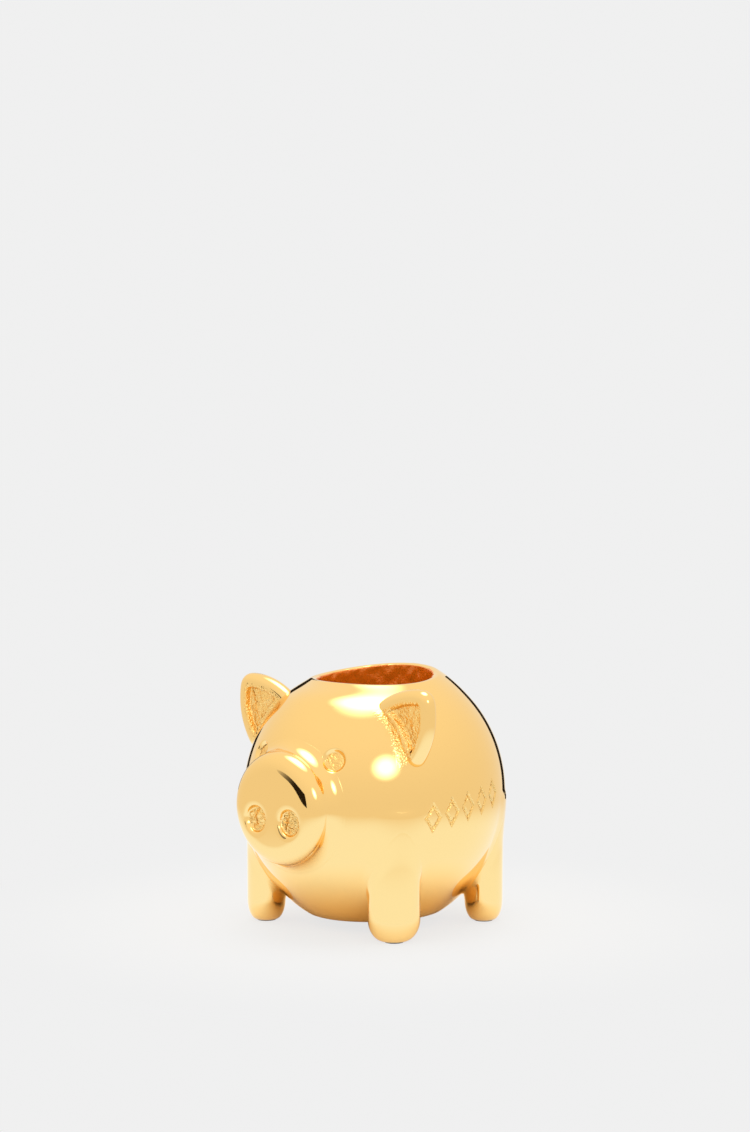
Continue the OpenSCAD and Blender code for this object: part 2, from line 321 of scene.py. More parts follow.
@dataclass
class Finishes:
    """Every finish, made once."""

    gold: bpy.types.Material = field(default_factory=lambda: GoldPlate().make())
    brass: bpy.types.Material = field(
        default_factory=lambda: TurnedMetal("turned_brass", (0.80, 0.60, 0.28)).make())
    steel: bpy.types.Material = field(
        default_factory=lambda: TurnedMetal("zinc_plated_steel", (0.66, 0.67, 0.69), 0.26).make())
    rubber: bpy.types.Material = field(
        default_factory=lambda: MattSolid("foot_rubber", (0.012, 0.012, 0.013),
                                          (0.035, 0.034, 0.034), 0.72, 1500.0).make())
    fibre: bpy.types.Material = field(
        default_factory=lambda: MattSolid("vulcanised_fibre", (0.20, 0.045, 0.03),
                                          (0.34, 0.09, 0.05), 0.62, 1200.0).make())


# --------------------------------------------------------------------------- shapes


@dataclass(frozen=True)
class Egg:
    """An ellipsoid on the bank's axis: the body's outside, or a surface inside its wall."""

    across: float
    along: float
    up: float
    centre_z: float

    def shrunk(self, depth: float) -> "Egg":
        """The ellipsoid whose half sizes are smaller by depth."""
        return Egg(self.across - depth, self.along - depth, self.up - depth, self.centre_z)

    def local(self, point: Vector) -> Vector:
        """The point from the ellipsoid's centre, in units of its half sizes."""
        return Vector((point.x / self.across, point.y / self.along,
                       (point.z - self.centre_z) / self.up))

    def normal(self, point: Vector) -> Vector:
        """The outward direction at a point on or near the surface."""
        unit = self.local(point)
        return Vector((unit.x / self.across, unit.y / self.along, unit.z / self.up)).normalized()

    def gap(self, point: Vector) -> float:
        """Distance from the surface, negative inside it."""
        unit = self.local(point)
        slope = Vector((unit.x / self.across, unit.y / self.along, unit.z / self.up)).length
        return unit.length * (unit.length - 1.0) / max(slope, 1e-6)

    def seat(self, point: Vector) -> Vector:
        """The point moved onto the surface along the line from the centre."""
        centre = Vector((0.0, 0.0, self.centre_z))
        return centre + (point - centre) / self.local(point).length

    def half_width(self, azimuth: float) -> float:
        """Half the egg's width in a direction round Z."""
        return 1.0 / math.hypot(math.cos(azimuth) / self.across, math.sin(azimuth) / self.along)

    def front(self, x: float, z: float) -> float:
        """The y of the front of the surface at x and z."""
        left = 1.0 - (x / self.across) ** 2 - ((z - self.centre_z) / self.up) ** 2
        return -self.along * math.sqrt(max(0.0, left))

    def side_root(self, y: float, angle: float) -> Vector:
        """The point in the plane y at an angle from the crown towards +X."""
        k = math.sqrt(1.0 - (y / self.along) ** 2)
        return Vector((self.across * k * math.sin(angle), y,
                       self.centre_z + self.up * k * math.cos(angle)))


@dataclass
class Sweep:
    """A closed surface made from a flat grid: one way round an axis, the other along a profile."""

    steps: int
    rows: int

    def make(self, place: Place) -> bmesh.types.BMesh:
        """Wrap the grid.

        Args:
            place: Gives the point at an angle in radians and a row number.

        Returns:
            The mesh, with its seam and poles merged and its faces pointing outwards.
        """
        bm = bmesh.new()
        bmesh.ops.create_grid(bm, x_segments=self.steps, y_segments=self.rows, size=0.5)
        cast = bm.verts.layers.float.new("cast")
        inner = bm.verts.layers.float.new("inner")
        rows = bm.verts.layers.float.new("row")
        for vert in bm.verts:
            vert[cast] = vert[inner] = 0.0
            turn = (vert.co.x + 0.5) * math.tau
            vert[rows] = round((vert.co.y + 0.5) * self.rows)
            vert.co = place(turn, round((vert.co.y + 0.5) * self.rows))
        bmesh.ops.remove_doubles(bm, verts=bm.verts, dist=1e-7)
        bmesh.ops.recalc_face_normals(bm, faces=bm.faces)
        return bm


def arc(cx: float, cy: float, radius: float, start: float, end: float,
        count: int) -> list[tuple[float, float]]:
    """Points on an arc, both ends included.

    Args:
        cx: The centre's first coordinate.
        cy: The centre's second coordinate.
        radius: The radius.
        start: The first angle in radians.
        end: The last angle in radians.
        count: How many points.

    Returns:
        The points.
    """
    turns = [start + (end - start) * i / (count - 1) for i in range(count)]
    return [(cx + radius * math.cos(t), cy + radius * math.sin(t)) for t in turns]


def line(a: tuple[float, float], b: tuple[float, float], count: int) -> list[tuple[float, float]]:
    """Points after a and up to b.

    Args:
        a: The start, left out.
        b: The end, included.
        count: How many points.

    Returns:
        The points.
    """
    return [(a[0] + (b[0] - a[0]) * i / count, a[1] + (b[1] - a[1]) * i / count)
            for i in range(1, count + 1)]


def finish_piece(bm: bmesh.types.BMesh, name: str, material: bpy.types.Material,
                 normals: Optional[Callable[[Vector], Optional[Vector]]] = None,
                 ) -> bpy.types.Object:
    """Turn a mesh into a smooth-shaded object at the origin.

    Args:
        bm: The mesh, which is freed.
        name: The object's name.
        material: Its material.
        normals: Gives the exact normal at a point, or None to keep the mesh's own.

    Returns:
        The object, linked to the scene.
    """
    mesh = bpy.data.meshes.new(name)
    bm.to_mesh(mesh)
    bm.free()
    mesh.materials.append(material)
    mesh.polygons.foreach_set("use_smooth", [True] * len(mesh.polygons))
    mesh.update()
    if normals is not None:
        exact = []
        for vert, own in zip(mesh.vertices, mesh.vertex_normals):
            given = normals(vert.co)
            exact.append(tuple(given if given is not None else own.vector))
        mesh.normals_split_custom_set_from_vertices(exact)
    obj = bpy.data.objects.new(name, mesh)
    bpy.context.scene.collection.objects.link(obj)
    return obj


def cut(obj: bpy.types.Object, cutter: bmesh.types.BMesh) -> None:
    """Take a shape out of an object and keep the result as its mesh.

    Args:
        obj: The object to cut.
        cutter: The shape to take out, which is freed.
    """
    mesh = bpy.data.meshes.new("cutter")
    cutter.to_mesh(mesh)
    cutter.free()
    tool = bpy.data.objects.new("cutter", mesh)
    bpy.context.scene.collection.objects.link(tool)
    mod = obj.modifiers.new("cut", "BOOLEAN")
    mod.operation = "DIFFERENCE"
    mod.solver = "EXACT"
    mod.object = tool
    graph = bpy.context.evaluated_depsgraph_get()
    result = bpy.data.meshes.new_from_object(obj.evaluated_get(graph))
    obj.modifiers.clear()
    old = obj.data
    obj.data = result
    bpy.data.meshes.remove(old)
    bpy.data.objects.remove(tool)
    bpy.data.meshes.remove(mesh)


# --------------------------------------------------------------------------- the bank


@dataclass
class LegForm:
    """Where the four legs stand and how thick they are; the body's shoulders follow them."""

    egg: Egg
    angle: float = math.radians(39.7)
    inset: float = mm(6.65)
    half_wide: float = mm(8.2)
    half_thick: float = mm(6.2)
    blend: float = mm(2.6)
    top_z: float = mm(40.5)

    def centre(self, side: int, end: int) -> Vector:
        """The middle of a leg on plan; side is 1 for left, end is 1 for rear."""
        reach = self.egg.half_width(self.angle) - self.inset
        return Vector((side * reach * math.cos(self.angle), end * reach * math.sin(self.angle),
                       0.0))

    def local(self, point: Vector, side: int, end: int) -> tuple[float, float]:
        """A point's distances from a leg's middle: outwards, and along the body's side."""
        centre = self.centre(side, end)
        out = centre.normalized()
        delta = Vector((point.x - centre.x, point.y - centre.y, 0.0))
        return delta.dot(out), delta.dot(Vector((-out.y, out.x, 0.0)))

    def gap(self, point: Vector, side: int, end: int) -> float:
        """Distance from a leg's surface, negative inside it."""
        out, along = self.local(point, side, end)
        k0 = math.hypot(out / self.half_thick, along / self.half_wide)
        k1 = math.hypot(out / self.half_thick ** 2, along / self.half_wide ** 2)
        flat = k0 * (k0 - 1.0) / max(k1, 1e-6)
        over = point.z - self.top_z
        if over <= 0.0:
            return flat
        return math.hypot(max(flat, 0.0), over) if flat > -over else max(flat, over)

    def swell(self, gap: float) -> float:
        """How far a surface rises in the fillet, from the other surface's distance."""
        if gap >= self.blend:
            return 0.0
        return (self.blend - max(gap, 0.0)) ** 2 / (4.0 * self.blend)

    def shoulder(self, point: Vector) -> float:
        """How far the body's surface rises at a point to meet the legs."""
        if point.z > self.top_z + self.blend:
            return 0.0
        side = 1 if point.x > 0 else -1
        end = 1 if point.y > 0 else -1
        return self.swell(self.gap(point, side, end))


@dataclass
class Body:
    """The hollow cast body: an egg with a flat belly and a round open mouth in its crown."""

    egg: Egg
    legs: LegForm
    belly_z: float = mm(3.5)
    wall: float = mm(3.0)
    floor_z: float = mm(7.5)
    hole_r: float = mm(18.8)
    mouth_r: float = mm(18.3)
    lip: float = mm(2.0)
    lip_crest_r: float = mm(19.8)
    lip_edge: float = mm(0.35)
    lip_rise: float = mm(-0.45)
    lip_tilt: float = mm(1.3)
    land_z: float = mm(71.3)
    neck_r: float = mm(21.1)
    eye_x: float = mm(14.9)
    eye_shift: float = mm(0.6)
    eye_z: float = mm(16.1)
    eye_floor_r: float = mm(2.85)
    eye_edge_r: float = mm(4.1)
    eye_depth: float = mm(1.15)
    ear_front: float = mm(21.7)
    ear_angle: float = math.radians(52.3)
    lozenges: int = 5
    lozenge_half: tuple[float, float] = (mm(2.9), mm(4.8))
    lozenge_start: tuple[float, float] = (mm(-15.8), mm(-2.0))
    lozenge_step: tuple[float, float] = (mm(6.9), mm(1.1))
    line_w: float = mm(1.1)
    line_depth: float = mm(0.5)
    steps: int = 288
    outer_rows: int = 116
    lip_rows: int = 14
    boss_r: float = mm(4.0)
    boss_top: float = mm(26.4)
    profiles: dict[int, list[tuple[float, float]]] = field(default_factory=dict)

    def profile(self, azimuth: float) -> list[tuple[float, float]]:
        """The wall's section in a direction round Z, as radius and height.

        It runs from the belly's hole outside the wall to the lip, and back inside the wall.

        Args:
            azimuth: The direction.

        Returns:
            The points, closed back to the first.
        """
        egg, cz = self.egg, self.egg.centre_z
        wide = egg.half_width(azimuth)

        def shell(t: float) -> tuple[float, float]:
            """The radius and height of the outer skin at an angle from the top."""
            return wide * math.sin(t), cz + egg.up * math.cos(t)

        def lip_centre(t: float) -> tuple[float, float]:
            """The middle of the lip's round where it meets the skin at that angle."""
            r, z = shell(t)
            n = Vector((math.sin(t) / wide, math.cos(t) / egg.up)).normalized()
            return r - self.lip * n.x, z - self.lip * n.y

        t_top = solve(lambda t: lip_centre(t)[0] - self.lip_crest_r, 0.1, 1.2)
        t_low = math.acos((self.belly_z - cz) / egg.up)
        points = [(self.hole_r, self.belly_z)]
        flat = wide * math.sin(t_low) - mm(0.5)
        points += line(points[0], (flat, self.belly_z), 2)
        first = t_low - 0.012
        points += [(flat + mm(0.32), self.belly_z + mm(0.05))]
        points += [shell(first + (t_top - first) * i / self.outer_rows)
                   for i in range(self.outer_rows + 1)]
        cr, c_z = lip_centre(t_top)
        r, z = points[-1]
        begin = math.atan2(z - c_z, r - cr)
        small = self.lip - self.lip_edge
        over = math.acos(-(self.lip_crest_r - self.mouth_r - self.lip_edge) / small)
        points += arc(cr, c_z, self.lip, begin, over, self.lip_rows)[1:]
        points += arc(cr + small * math.cos(over), c_z + small * math.sin(over), self.lip_edge,
                      over, math.pi, 5)[1:]
        points += line(points[-1], (self.mouth_r, self.land_z + mm(0.8)), 8)
        points += arc(self.mouth_r + mm(0.8), self.land_z + mm(0.8), mm(0.8),
                      math.pi, 1.5 * math.pi, 4)[1:]
        points += arc(self.neck_r - mm(0.8), self.land_z + mm(0.8), mm(0.8),
                      1.5 * math.pi, 2.0 * math.pi, 4)
        inner = egg.shrunk(self.wall)
        in_wide = inner.half_width(azimuth)
        t_in = math.asin(self.neck_r / in_wide)
        t_floor = math.acos((self.floor_z - cz) / inner.up)
        points += [(in_wide * math.sin(t_in + (t_floor - t_in) * i / 40),
                    cz + inner.up * math.cos(t_in + (t_floor - t_in) * i / 40)) for i in range(41)]
        points += line(points[-1], (self.hole_r, self.floor_z), 3)
        points += line(points[-1], points[0], 2)
        return points

    def place(self, azimuth: float, row: int) -> Vector:
        """The wall's point at an angle and a row of its section."""
        key = round(azimuth * 1e6)
        if key not in self.profiles:
            self.profiles[key] = self.profile(azimuth)
        r, z = self.profiles[key][row]
        return Vector((r * math.cos(azimuth), r * math.sin(azimuth), z))

    def outside(self, point: Vector) -> bool:
        """Whether a point is on the plain outside of the egg."""
        r = math.hypot(point.x, point.y)
        if abs(self.egg.gap(point)) > mm(0.08) or point.z < self.belly_z + mm(0.1):
            return False
        return point.z < self.egg.centre_z or r > self.lip_crest_r + mm(0.3)

    def raised(self, point: Vector) -> float:
        """How far the lip stands above the egg: most at the rear, as the mouth tips forward."""
        r = math.hypot(point.x, point.y)
        if point.z < self.egg.centre_z:
            return 0.0
        share = 1.0 - smooth(self.lip_crest_r + mm(1), mm(31), r)
        return share * (self.lip_rise + self.lip_tilt * point.y / max(r, mm(1)))

    def eye_centre(self, side: int) -> Vector:
        """The middle of an eye on the body's surface."""
        x, z = side * self.eye_x + self.eye_shift, self.egg.centre_z + self.eye_z
        return Vector((x, self.egg.front(x, z), z))

    def eye_cut(self, point: Vector) -> tuple[float, float]:
        """Depth of an eye's recess at a point, and how rough it is there."""
        side = 1 if point.x > 0 else -1
        centre = self.eye_centre(side)
        delta = point - centre
        depth = delta.dot(self.egg.normal(centre))
        if abs(depth) > mm(5):
            return 0.0, 0.0
        away = math.sqrt(max(0.0, delta.length_squared - depth * depth))
        if away > self.eye_edge_r:
            return 0.0, 0.0
        depth = self.eye_depth * (1.0 - smooth(self.eye_floor_r - mm(0.25), self.eye_edge_r, away))
        rough = 1.0 - smooth(self.eye_floor_r - mm(0.3), self.eye_floor_r + mm(0.1), away)
        lumps = noise.noise(point * 1500.0) * mm(0.12) + noise.noise(point * 600.0) * mm(0.22)
        return depth + rough * lumps, rough

    def flank_cut(self, point: Vector) -> tuple[float, float]:
        """Depth of the lozenge band at a point, and how rough it is there."""
        if point.x < mm(20):
            return 0.0, 0.0
        best = 1e9
        wide, high = self.lozenge_half
        slant = math.hypot(wide, high)
        for i in range(self.lozenges):
            y = point.y - self.lozenge_start[0] - i * self.lozenge_step[0]
            z = point.z - self.egg.centre_z - self.lozenge_start[1] - i * self.lozenge_step[1]
            edge = (abs(y) * high + abs(z) * wide - wide * high) / slant
            best = min(best, abs(edge + self.line_w / 2))
        cut_in = 1.0 - smooth(self.line_w * 0.30, self.line_w * 0.62, best)
        if cut_in <= 0.0:
            return 0.0, 0.0
        lumps = noise.noise(point * 2600.0) * mm(0.22)
        return cut_in * (self.line_depth + lumps), cut_in

    def ear_root(self, point: Vector) -> float:
        """How rough the body is in front of an ear's root, where the wheel can't reach."""
        ahead = -self.ear_front - point.y
        if ahead < mm(-3.0) or ahead > mm(3.4):
            return 0.0
        angle = math.atan2(abs(point.x) / self.egg.across,
                           (point.z - self.egg.centre_z) / self.egg.up)
        off = abs(angle - self.ear_angle) / math.radians(17.0)
        patch = 1.0 - smooth(0.62, 1.0, off + 0.10 * noise.noise(point * 700.0))
        reach = 1.0 if point.x > 0.0 else 0.35
        return 0.75 * patch * (1.0 - smooth(reach * mm(1.4), reach * mm(3.0),
                                            ahead + mm(0.7) * noise.noise(point * 900.0)))

    def refine(self, bm: bmesh.types.BMesh) -> None:
        """Divide the faces at the eyes and the lozenge band more finely.

        Args:
            bm: The body's mesh.
        """
        eyes = [self.eye_centre(1), self.eye_centre(-1)]
        low_y = self.lozenge_start[0] - self.lozenge_half[0] - mm(0.6)
        high_y = -low_y - mm(1.0)

        def near_eye(face: bmesh.types.BMFace) -> bool:
            """Tell whether a face lies round an eye."""
            mid = face.calc_center_median()
            return any((mid - eye).length < self.eye_edge_r + mm(0.4) for eye in eyes)

        def in_band(face: bmesh.types.BMFace) -> bool:
            """Tell whether a face lies in the band of lozenges.

            Args:
                face: The face.

            Returns:
                True if it does.
            """
            mid = face.calc_center_median()
            if mid.x < mm(25) or not low_y < mid.y < high_y or not self.outside(mid):
                return False
            slope = self.lozenge_step[1] / self.lozenge_step[0]
            z = mid.z - self.egg.centre_z - self.lozenge_start[1]
            return abs(z - (mid.y - self.lozenge_start[0]) * slope) < self.lozenge_half[1] + mm(0.6)

        for test, cuts in ((near_eye, 4), (in_band, 3)):
            edges = {edge for face in bm.faces if test(face) for edge in face.edges}
            bmesh.ops.subdivide_edges(bm, edges=list(edges), cuts=cuts, use_grid_fill=True)

    def make(self, finishes: Finishes) -> bpy.types.Object:
        """Build the body.

        Args:
            finishes: The finishes.

        Returns:
            The body's object.
        """
        rows = len(self.profile(0.0)) - 1
        bm = Sweep(self.steps, rows).make(self.place)
        self.refine(bm)
        cast = bm.verts.layers.float["cast"]
        inside_shade_layer = bm.verts.layers.float["inner"]
        for vert in bm.verts:
            point = vert.co.copy()
            if self.outside(point):
                point = self.egg.seat(point)
                out = self.egg.normal(point)
                eye, eye_rough = self.eye_cut(point)
                band, band_rough = self.flank_cut(point)
                vert.co = point + out * (self.legs.shoulder(point) - eye - band)
                vert.co.z += self.raised(point)
                vert[cast] = max(eye_rough, band_rough, self.ear_root(point))
                continue
            r = math.hypot(point.x, point.y)
            # Inside the chamber and the bore the metal is marked rough and inner, and inner paints
            # it a dark reddish shade.
            inside = self.egg.gap(point) < -mm(1.2) or (
                point.z > self.land_z - mm(1) and r < self.mouth_r + mm(0.05))
            if inside and point.z > self.floor_z - mm(0.1):
                vert[cast] = vert[inside_shade_layer] = 1.0
                if r < self.mouth_r + mm(1):
                    out = Vector((point.x, point.y, 0.0)).normalized()
                    lumps = (noise.noise(point * 420.0) * mm(0.3)
                             + noise.noise(point * 1300.0) * mm(0.16))
                    vert.co = point + out * lumps
            if point.z > self.land_z and r < self.lip_crest_r + mm(2):
                share = min(1.0, (point.z - self.land_z) / mm(5))
                vert.co.z += share * self.raised(point)
        self.add_bosses(bm, cast)
        egg = self.egg

        def exact(point: Vector) -> Optional[Vector]:
            """The egg's own normal where the skin is plain."""
            plain = self.outside(point) and abs(egg.gap(point)) < mm(0.0004)
            return egg.normal(point) if plain else None

        obj = finish_piece(bm, "cast_body", finishes.gold, exact)
        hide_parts("body_shell")
        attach(obj, "pig")
        return obj

    def add_bosses(self, bm: bmesh.types.BMesh, cast: bmesh.types.BMLayerItem) -> None:
        """Add the posts that hold the leg screws and the seat for the snout's washer.

        Args:
            bm: The body's mesh.
            cast: Its roughness layer.
        """
        before = set(bm.verts)
        for side in (1, -1):
            for end in (1, -1):
                centre = self.legs.centre(side, end)
                new = bmesh.ops.create_cone(bm, cap_ends=True, segments=40, radius1=self.boss_r,
                                            radius2=self.boss_r, depth=mm(9))["verts"]
                bmesh.ops.translate(bm, verts=new,
                                    vec=(centre.x, centre.y, self.boss_top - mm(4.5)))
                rim = [e for e in {e for v in new for e in v.link_edges}
                       if all(v.co.z > self.boss_top - mm(0.1) for v in e.verts)]
                bmesh.ops.bevel(bm, geom=rim, offset=mm(0.5), segments=3, profile=0.5,
                                affect="EDGES", material=-1)
        seat_y = -(self.egg.along - self.wall - mm(2.6))
        new = bmesh.ops.create_cone(bm, cap_ends=True, segments=64, radius1=mm(10), radius2=mm(10),
                                    depth=mm(4))["verts"]
        bmesh.ops.rotate(bm, verts=new, cent=(0, 0, 0), matrix=upright_to_lying())
        bmesh.ops.translate(bm, verts=new, vec=(0, seat_y - mm(2), self.egg.centre_z + mm(0.5)))
        # The posts and the seat inside the chamber are marked rough and inner, and inner paints
        # them a dark reddish shade.
        inside_shade_layer = bm.verts.layers.float["inner"]
        for vert in bm.verts:
            if vert not in before:
                vert[cast] = vert[inside_shade_layer] = 1.0


def upright_to_lying() -> Matrix:
    """A quarter turn about X, from upright to along Y."""
    return Matrix.Rotation(math.pi / 2, 3, "X")


@dataclass
class Snout:
    """The thick disc snout with a rounded front edge, two nostrils and a fillet onto the face."""

    egg: Egg
    body: "Body"
    radius: float = mm(17.7)
    face_y: float = mm(-49.0)
    rise: float = mm(0.5)
    edge: float = mm(5.0)
    edge_in: float = mm(6.3)
    fillet: float = mm(6.4)
    nostril_x: float = mm(6.85)
    nostril_drop: float = mm(3.4)
    nostril_floor_r: float = mm(3.7)
    nostril_edge_r: float = mm(4.5)
    nostril_roll_r: float = mm(6.0)
    nostril_roll: float = mm(0.32)
    nostril_depth: float = mm(1.4)
    stud_r: float = mm(4.0)
    stud_end: float = mm(-29.0)
    steps: int = 224
    sections: dict[int, list[tuple[float, float]]] = field(default_factory=dict)

    def section(self, turn: float) -> list[tuple[float, float]]:
        """The snout's half section at an angle round its axis, as radius and y.

        Args:
            turn: The angle, from +X towards +Z.

        Returns:
            The points, from the middle of the front face to the middle of the back.
        """
        cz = self.egg.centre_z + self.rise

        def skin(rho: float) -> float:
            """How far forward the body's skin is at a distance from the axis."""
            return self.egg.front(rho * math.cos(turn), cz + rho * math.sin(turn))

        def outward(rho: float) -> Vector:
            """The skin's normal in the section at that distance."""
            slope = (skin(rho + 1e-6) - skin(rho - 1e-6)) / 2e-6
            return Vector((slope, -1.0)).normalized()

        foot = solve(lambda rho: rho + self.fillet * outward(rho).x - self.radius - self.fillet,
                     self.radius - mm(0.5), self.radius + self.fillet)
        n = outward(foot)
        cr, cy = self.radius + self.fillet, skin(foot) + self.fillet * n.y
        flat = self.radius - self.edge_in
        points = [(0.0, self.face_y)] + line((0.0, self.face_y), (flat, self.face_y), 44)
        points += [(flat + self.edge_in * math.sin(a), self.face_y + self.edge * (1 - math.cos(a)))
                   for a in (math.pi / 2 * i / 22 for i in range(1, 23))]
        points += line(points[-1], (self.radius, cy), 8)
        end = math.atan2(-n.y, -n.x)
        points += arc(cr, cy, self.fillet, math.pi, end, 29)[1:]
        back = self.egg.shrunk(mm(1.5))
        rim = foot + mm(0.6)
        points += [(rim, back.front(rim * math.cos(turn), cz + rim * math.sin(turn)))]
        points += [(rim * (1 - i / 6), back.front(rim * (1 - i / 6) * math.cos(turn),
                                                  cz + rim * (1 - i / 6) * math.sin(turn)))
                   for i in range(1, 7)]
        return points

    def place(self, turn: float, row: int) -> Vector:
        """The snout's point at an angle and a row of its section."""
        key = round(turn * 1e6)
        if key not in self.sections:
            self.sections[key] = self.section(turn)
        rho, y = self.sections[key][row]
        return Vector((rho * math.cos(turn), y,
                       self.egg.centre_z + self.rise + rho * math.sin(turn)))

    def make(self, finishes: Finishes) -> bpy.types.Object:
        """Build the snout with its nostrils and stud.

        Args:
            finishes: The finishes.

        Returns:
            The snout's object.
        """
        bm = Sweep(self.steps, len(self.section(0.0)) - 1).make(self.place)
        cast = bm.verts.layers.float["cast"]
        low = self.egg.centre_z + self.rise - self.nostril_drop
        for vert in bm.verts:
            if vert.co.y > self.face_y + self.edge:
                eye, rough = self.body.eye_cut(vert.co)
                centre = self.body.eye_centre(1 if vert.co.x > 0 else -1)
                vert.co -= self.egg.normal(centre) * eye
                vert[cast] = rough
                continue
            away = math.hypot(abs(vert.co.x) - self.nostril_x, vert.co.z - low)
            if away < self.nostril_roll_r:
                roll = (self.nostril_roll_r - away) / (self.nostril_roll_r - self.nostril_floor_r)
                vert.co.y += self.nostril_roll * min(1.0, roll) ** 2
                deep = 1.0 - smooth(self.nostril_floor_r - mm(0.3), self.nostril_edge_r, away)
                floor = self.nostril_floor_r
                rough = 1.0 - smooth(floor - mm(0.35), floor + mm(0.1), away)
                lumps = (noise.noise(vert.co * 520.0) * mm(0.7)
                         + noise.noise(vert.co * 1500.0) * mm(0.22))
                vert.co.y += self.nostril_depth * deep + rough * lumps
                vert[cast] = rough
        stud = Thread(self.stud_r, mm(1.25), mm(0.5), mm(-40.0), self.stud_end)
        stud.add(bm, Vector((0.0, 0.0, self.egg.centre_z + self.rise)), along_y=True)
        obj = finish_piece(bm, "snout_disc", finishes.gold)
        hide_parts("snout")
        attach(obj, "pig")
        return obj


@dataclass
class Thread:
    """A right-hand external thread between two heights on an axis."""

    crest_r: float
    pitch: float
    depth: float
    low: float
    high: float
    steps: int = 72

    def point(self, turn: float, height: float) -> tuple[float, float]:
        """Radius and height of the thread's surface at an angle and a height."""
        phase = (height / self.pitch - turn / math.tau) % 1.0
        ridge = 1.0 - abs(2.0 * phase - 1.0)
        fade = smooth(self.low - 1e-9, self.low + self.pitch * 0.5, height) * (
            1.0 - smooth(self.high - self.pitch * 0.5, self.high, height))
        ridge = smooth(0.12, 0.88, ridge) * fade
        return self.crest_r - self.depth * (1.0 - ridge), height

    def add(self, bm: bmesh.types.BMesh, centre: Vector, along_y: bool) -> None:
        """Add the threaded rod to a mesh.

        Args:
            bm: The mesh.
            centre: A point on the axis.
            along_y: True for an axis along Y, False for one along Z.
        """
        rows = max(8, round((self.high - self.low) / self.pitch * 10))

        def place(turn: float, row: int) -> Vector:
            """Place one point of the skin.

            Args:
                turn: The angle round the piece, in radians.
                row: The row along it.

            Returns:
                The point.
            """
            if row == 0 or row == rows + 2:
                radius, height = 0.0, self.low if row == 0 else self.high
            else:
                radius, height = self.point(
                    turn, self.low + (self.high - self.low) * (row - 1) / rows)
            if along_y:
                return centre + Vector((radius * math.sin(turn), height, radius * math.cos(turn)))
            return centre + Vector((radius * math.cos(turn), radius * math.sin(turn), height))

        rod = Sweep(self.steps, rows + 2).make(place)
        mesh = bpy.data.meshes.new("thread")
        rod.to_mesh(mesh)
        rod.free()
        bm.from_mesh(mesh)
        bpy.data.meshes.remove(mesh)


@dataclass
class Leg:
    """One stubby leg of oval section whose top runs into the body's wall."""

    form: LegForm
    node: str
    side: int
    end: int
    sole_z: float = mm(0.3)
    edge: float = mm(7.0)
    edge_out: float = mm(3.1)
    edge_along: float = mm(5.0)
    pad_r: float = mm(3.02)
    pad_top: float = mm(5.9)
    steps: int = 96

    def make(self, finishes: Finishes) -> bpy.types.Object:
        """Build the leg.

        Args:
            finishes: The finishes.

        Returns:
            The leg's object.
        """
        form, egg = self.form, self.form.egg
        centre = form.centre(self.side, self.end)
        out = centre.normalized()
        along = Vector((-out.y, out.x, 0.0))
        top = egg.centre_z + mm(0.5)
        section: list[tuple[float, float]] = [(0.0, self.pad_top), (self.pad_r, self.pad_top),
                                              (self.pad_r, self.sole_z)]
        rim = 0.0
        arcs = arc(-self.edge, self.sole_z + self.edge, self.edge, -math.pi / 2, 0.0, 20)
        wall = [(0.0, self.sole_z + self.edge + (top - self.sole_z - self.edge) * i / 44)
                for i in range(1, 45)]

        def place(turn: float, row: int) -> Vector:
            """Place one point of the skin.

            Args:
                turn: The angle round the piece, in radians.
                row: The row along it.

            Returns:
                The point.
            """
            if row < len(section):
                r, z = section[row]
                flat = Vector((r * math.cos(turn), r * math.sin(turn)))
            else:
                i = row - len(section)
                inset, z = (arcs + wall + [(rim, top)])[min(i, len(arcs) + len(wall))]
                if i > len(arcs) + len(wall) - 1:
                    flat = Vector((0.0, 0.0))
                    z = top
                else:
                    wide = form.half_wide + inset * self.edge_along / self.edge
                    thick = form.half_thick + inset * self.edge_out / self.edge
                    flat = Vector((thick * math.cos(turn), wide * math.sin(turn)))
            return Vector((centre.x, centre.y, z)) + out * flat.x + along * flat.y

        bm = Sweep(self.steps, len(section) + len(arcs) + len(wall)).make(place)
        mid_wall = egg.shrunk(mm(1.4))
        for vert in bm.verts:
            point = vert.co.copy()
            if point.z > self.sole_z + self.edge:
                u, w = form.local(point, self.side, self.end)
                away = Vector((u / form.half_thick ** 2, w / form.half_wide ** 2))
                if away.length > 1e-3:
                    away.normalize()
                    push = form.swell(egg.gap(point))
                    vert.co = point + (out * away.x + along * away.y) * push
            if mid_wall.gap(vert.co) < 0.0 and vert.co.z > mm(8):
                vert.co = mid_wall.seat(vert.co)
        obj = finish_piece(bm, self.node.replace("_leg", "_leg_casting"), finishes.gold)
        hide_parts(self.node)
        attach(obj, "pig")
        return obj


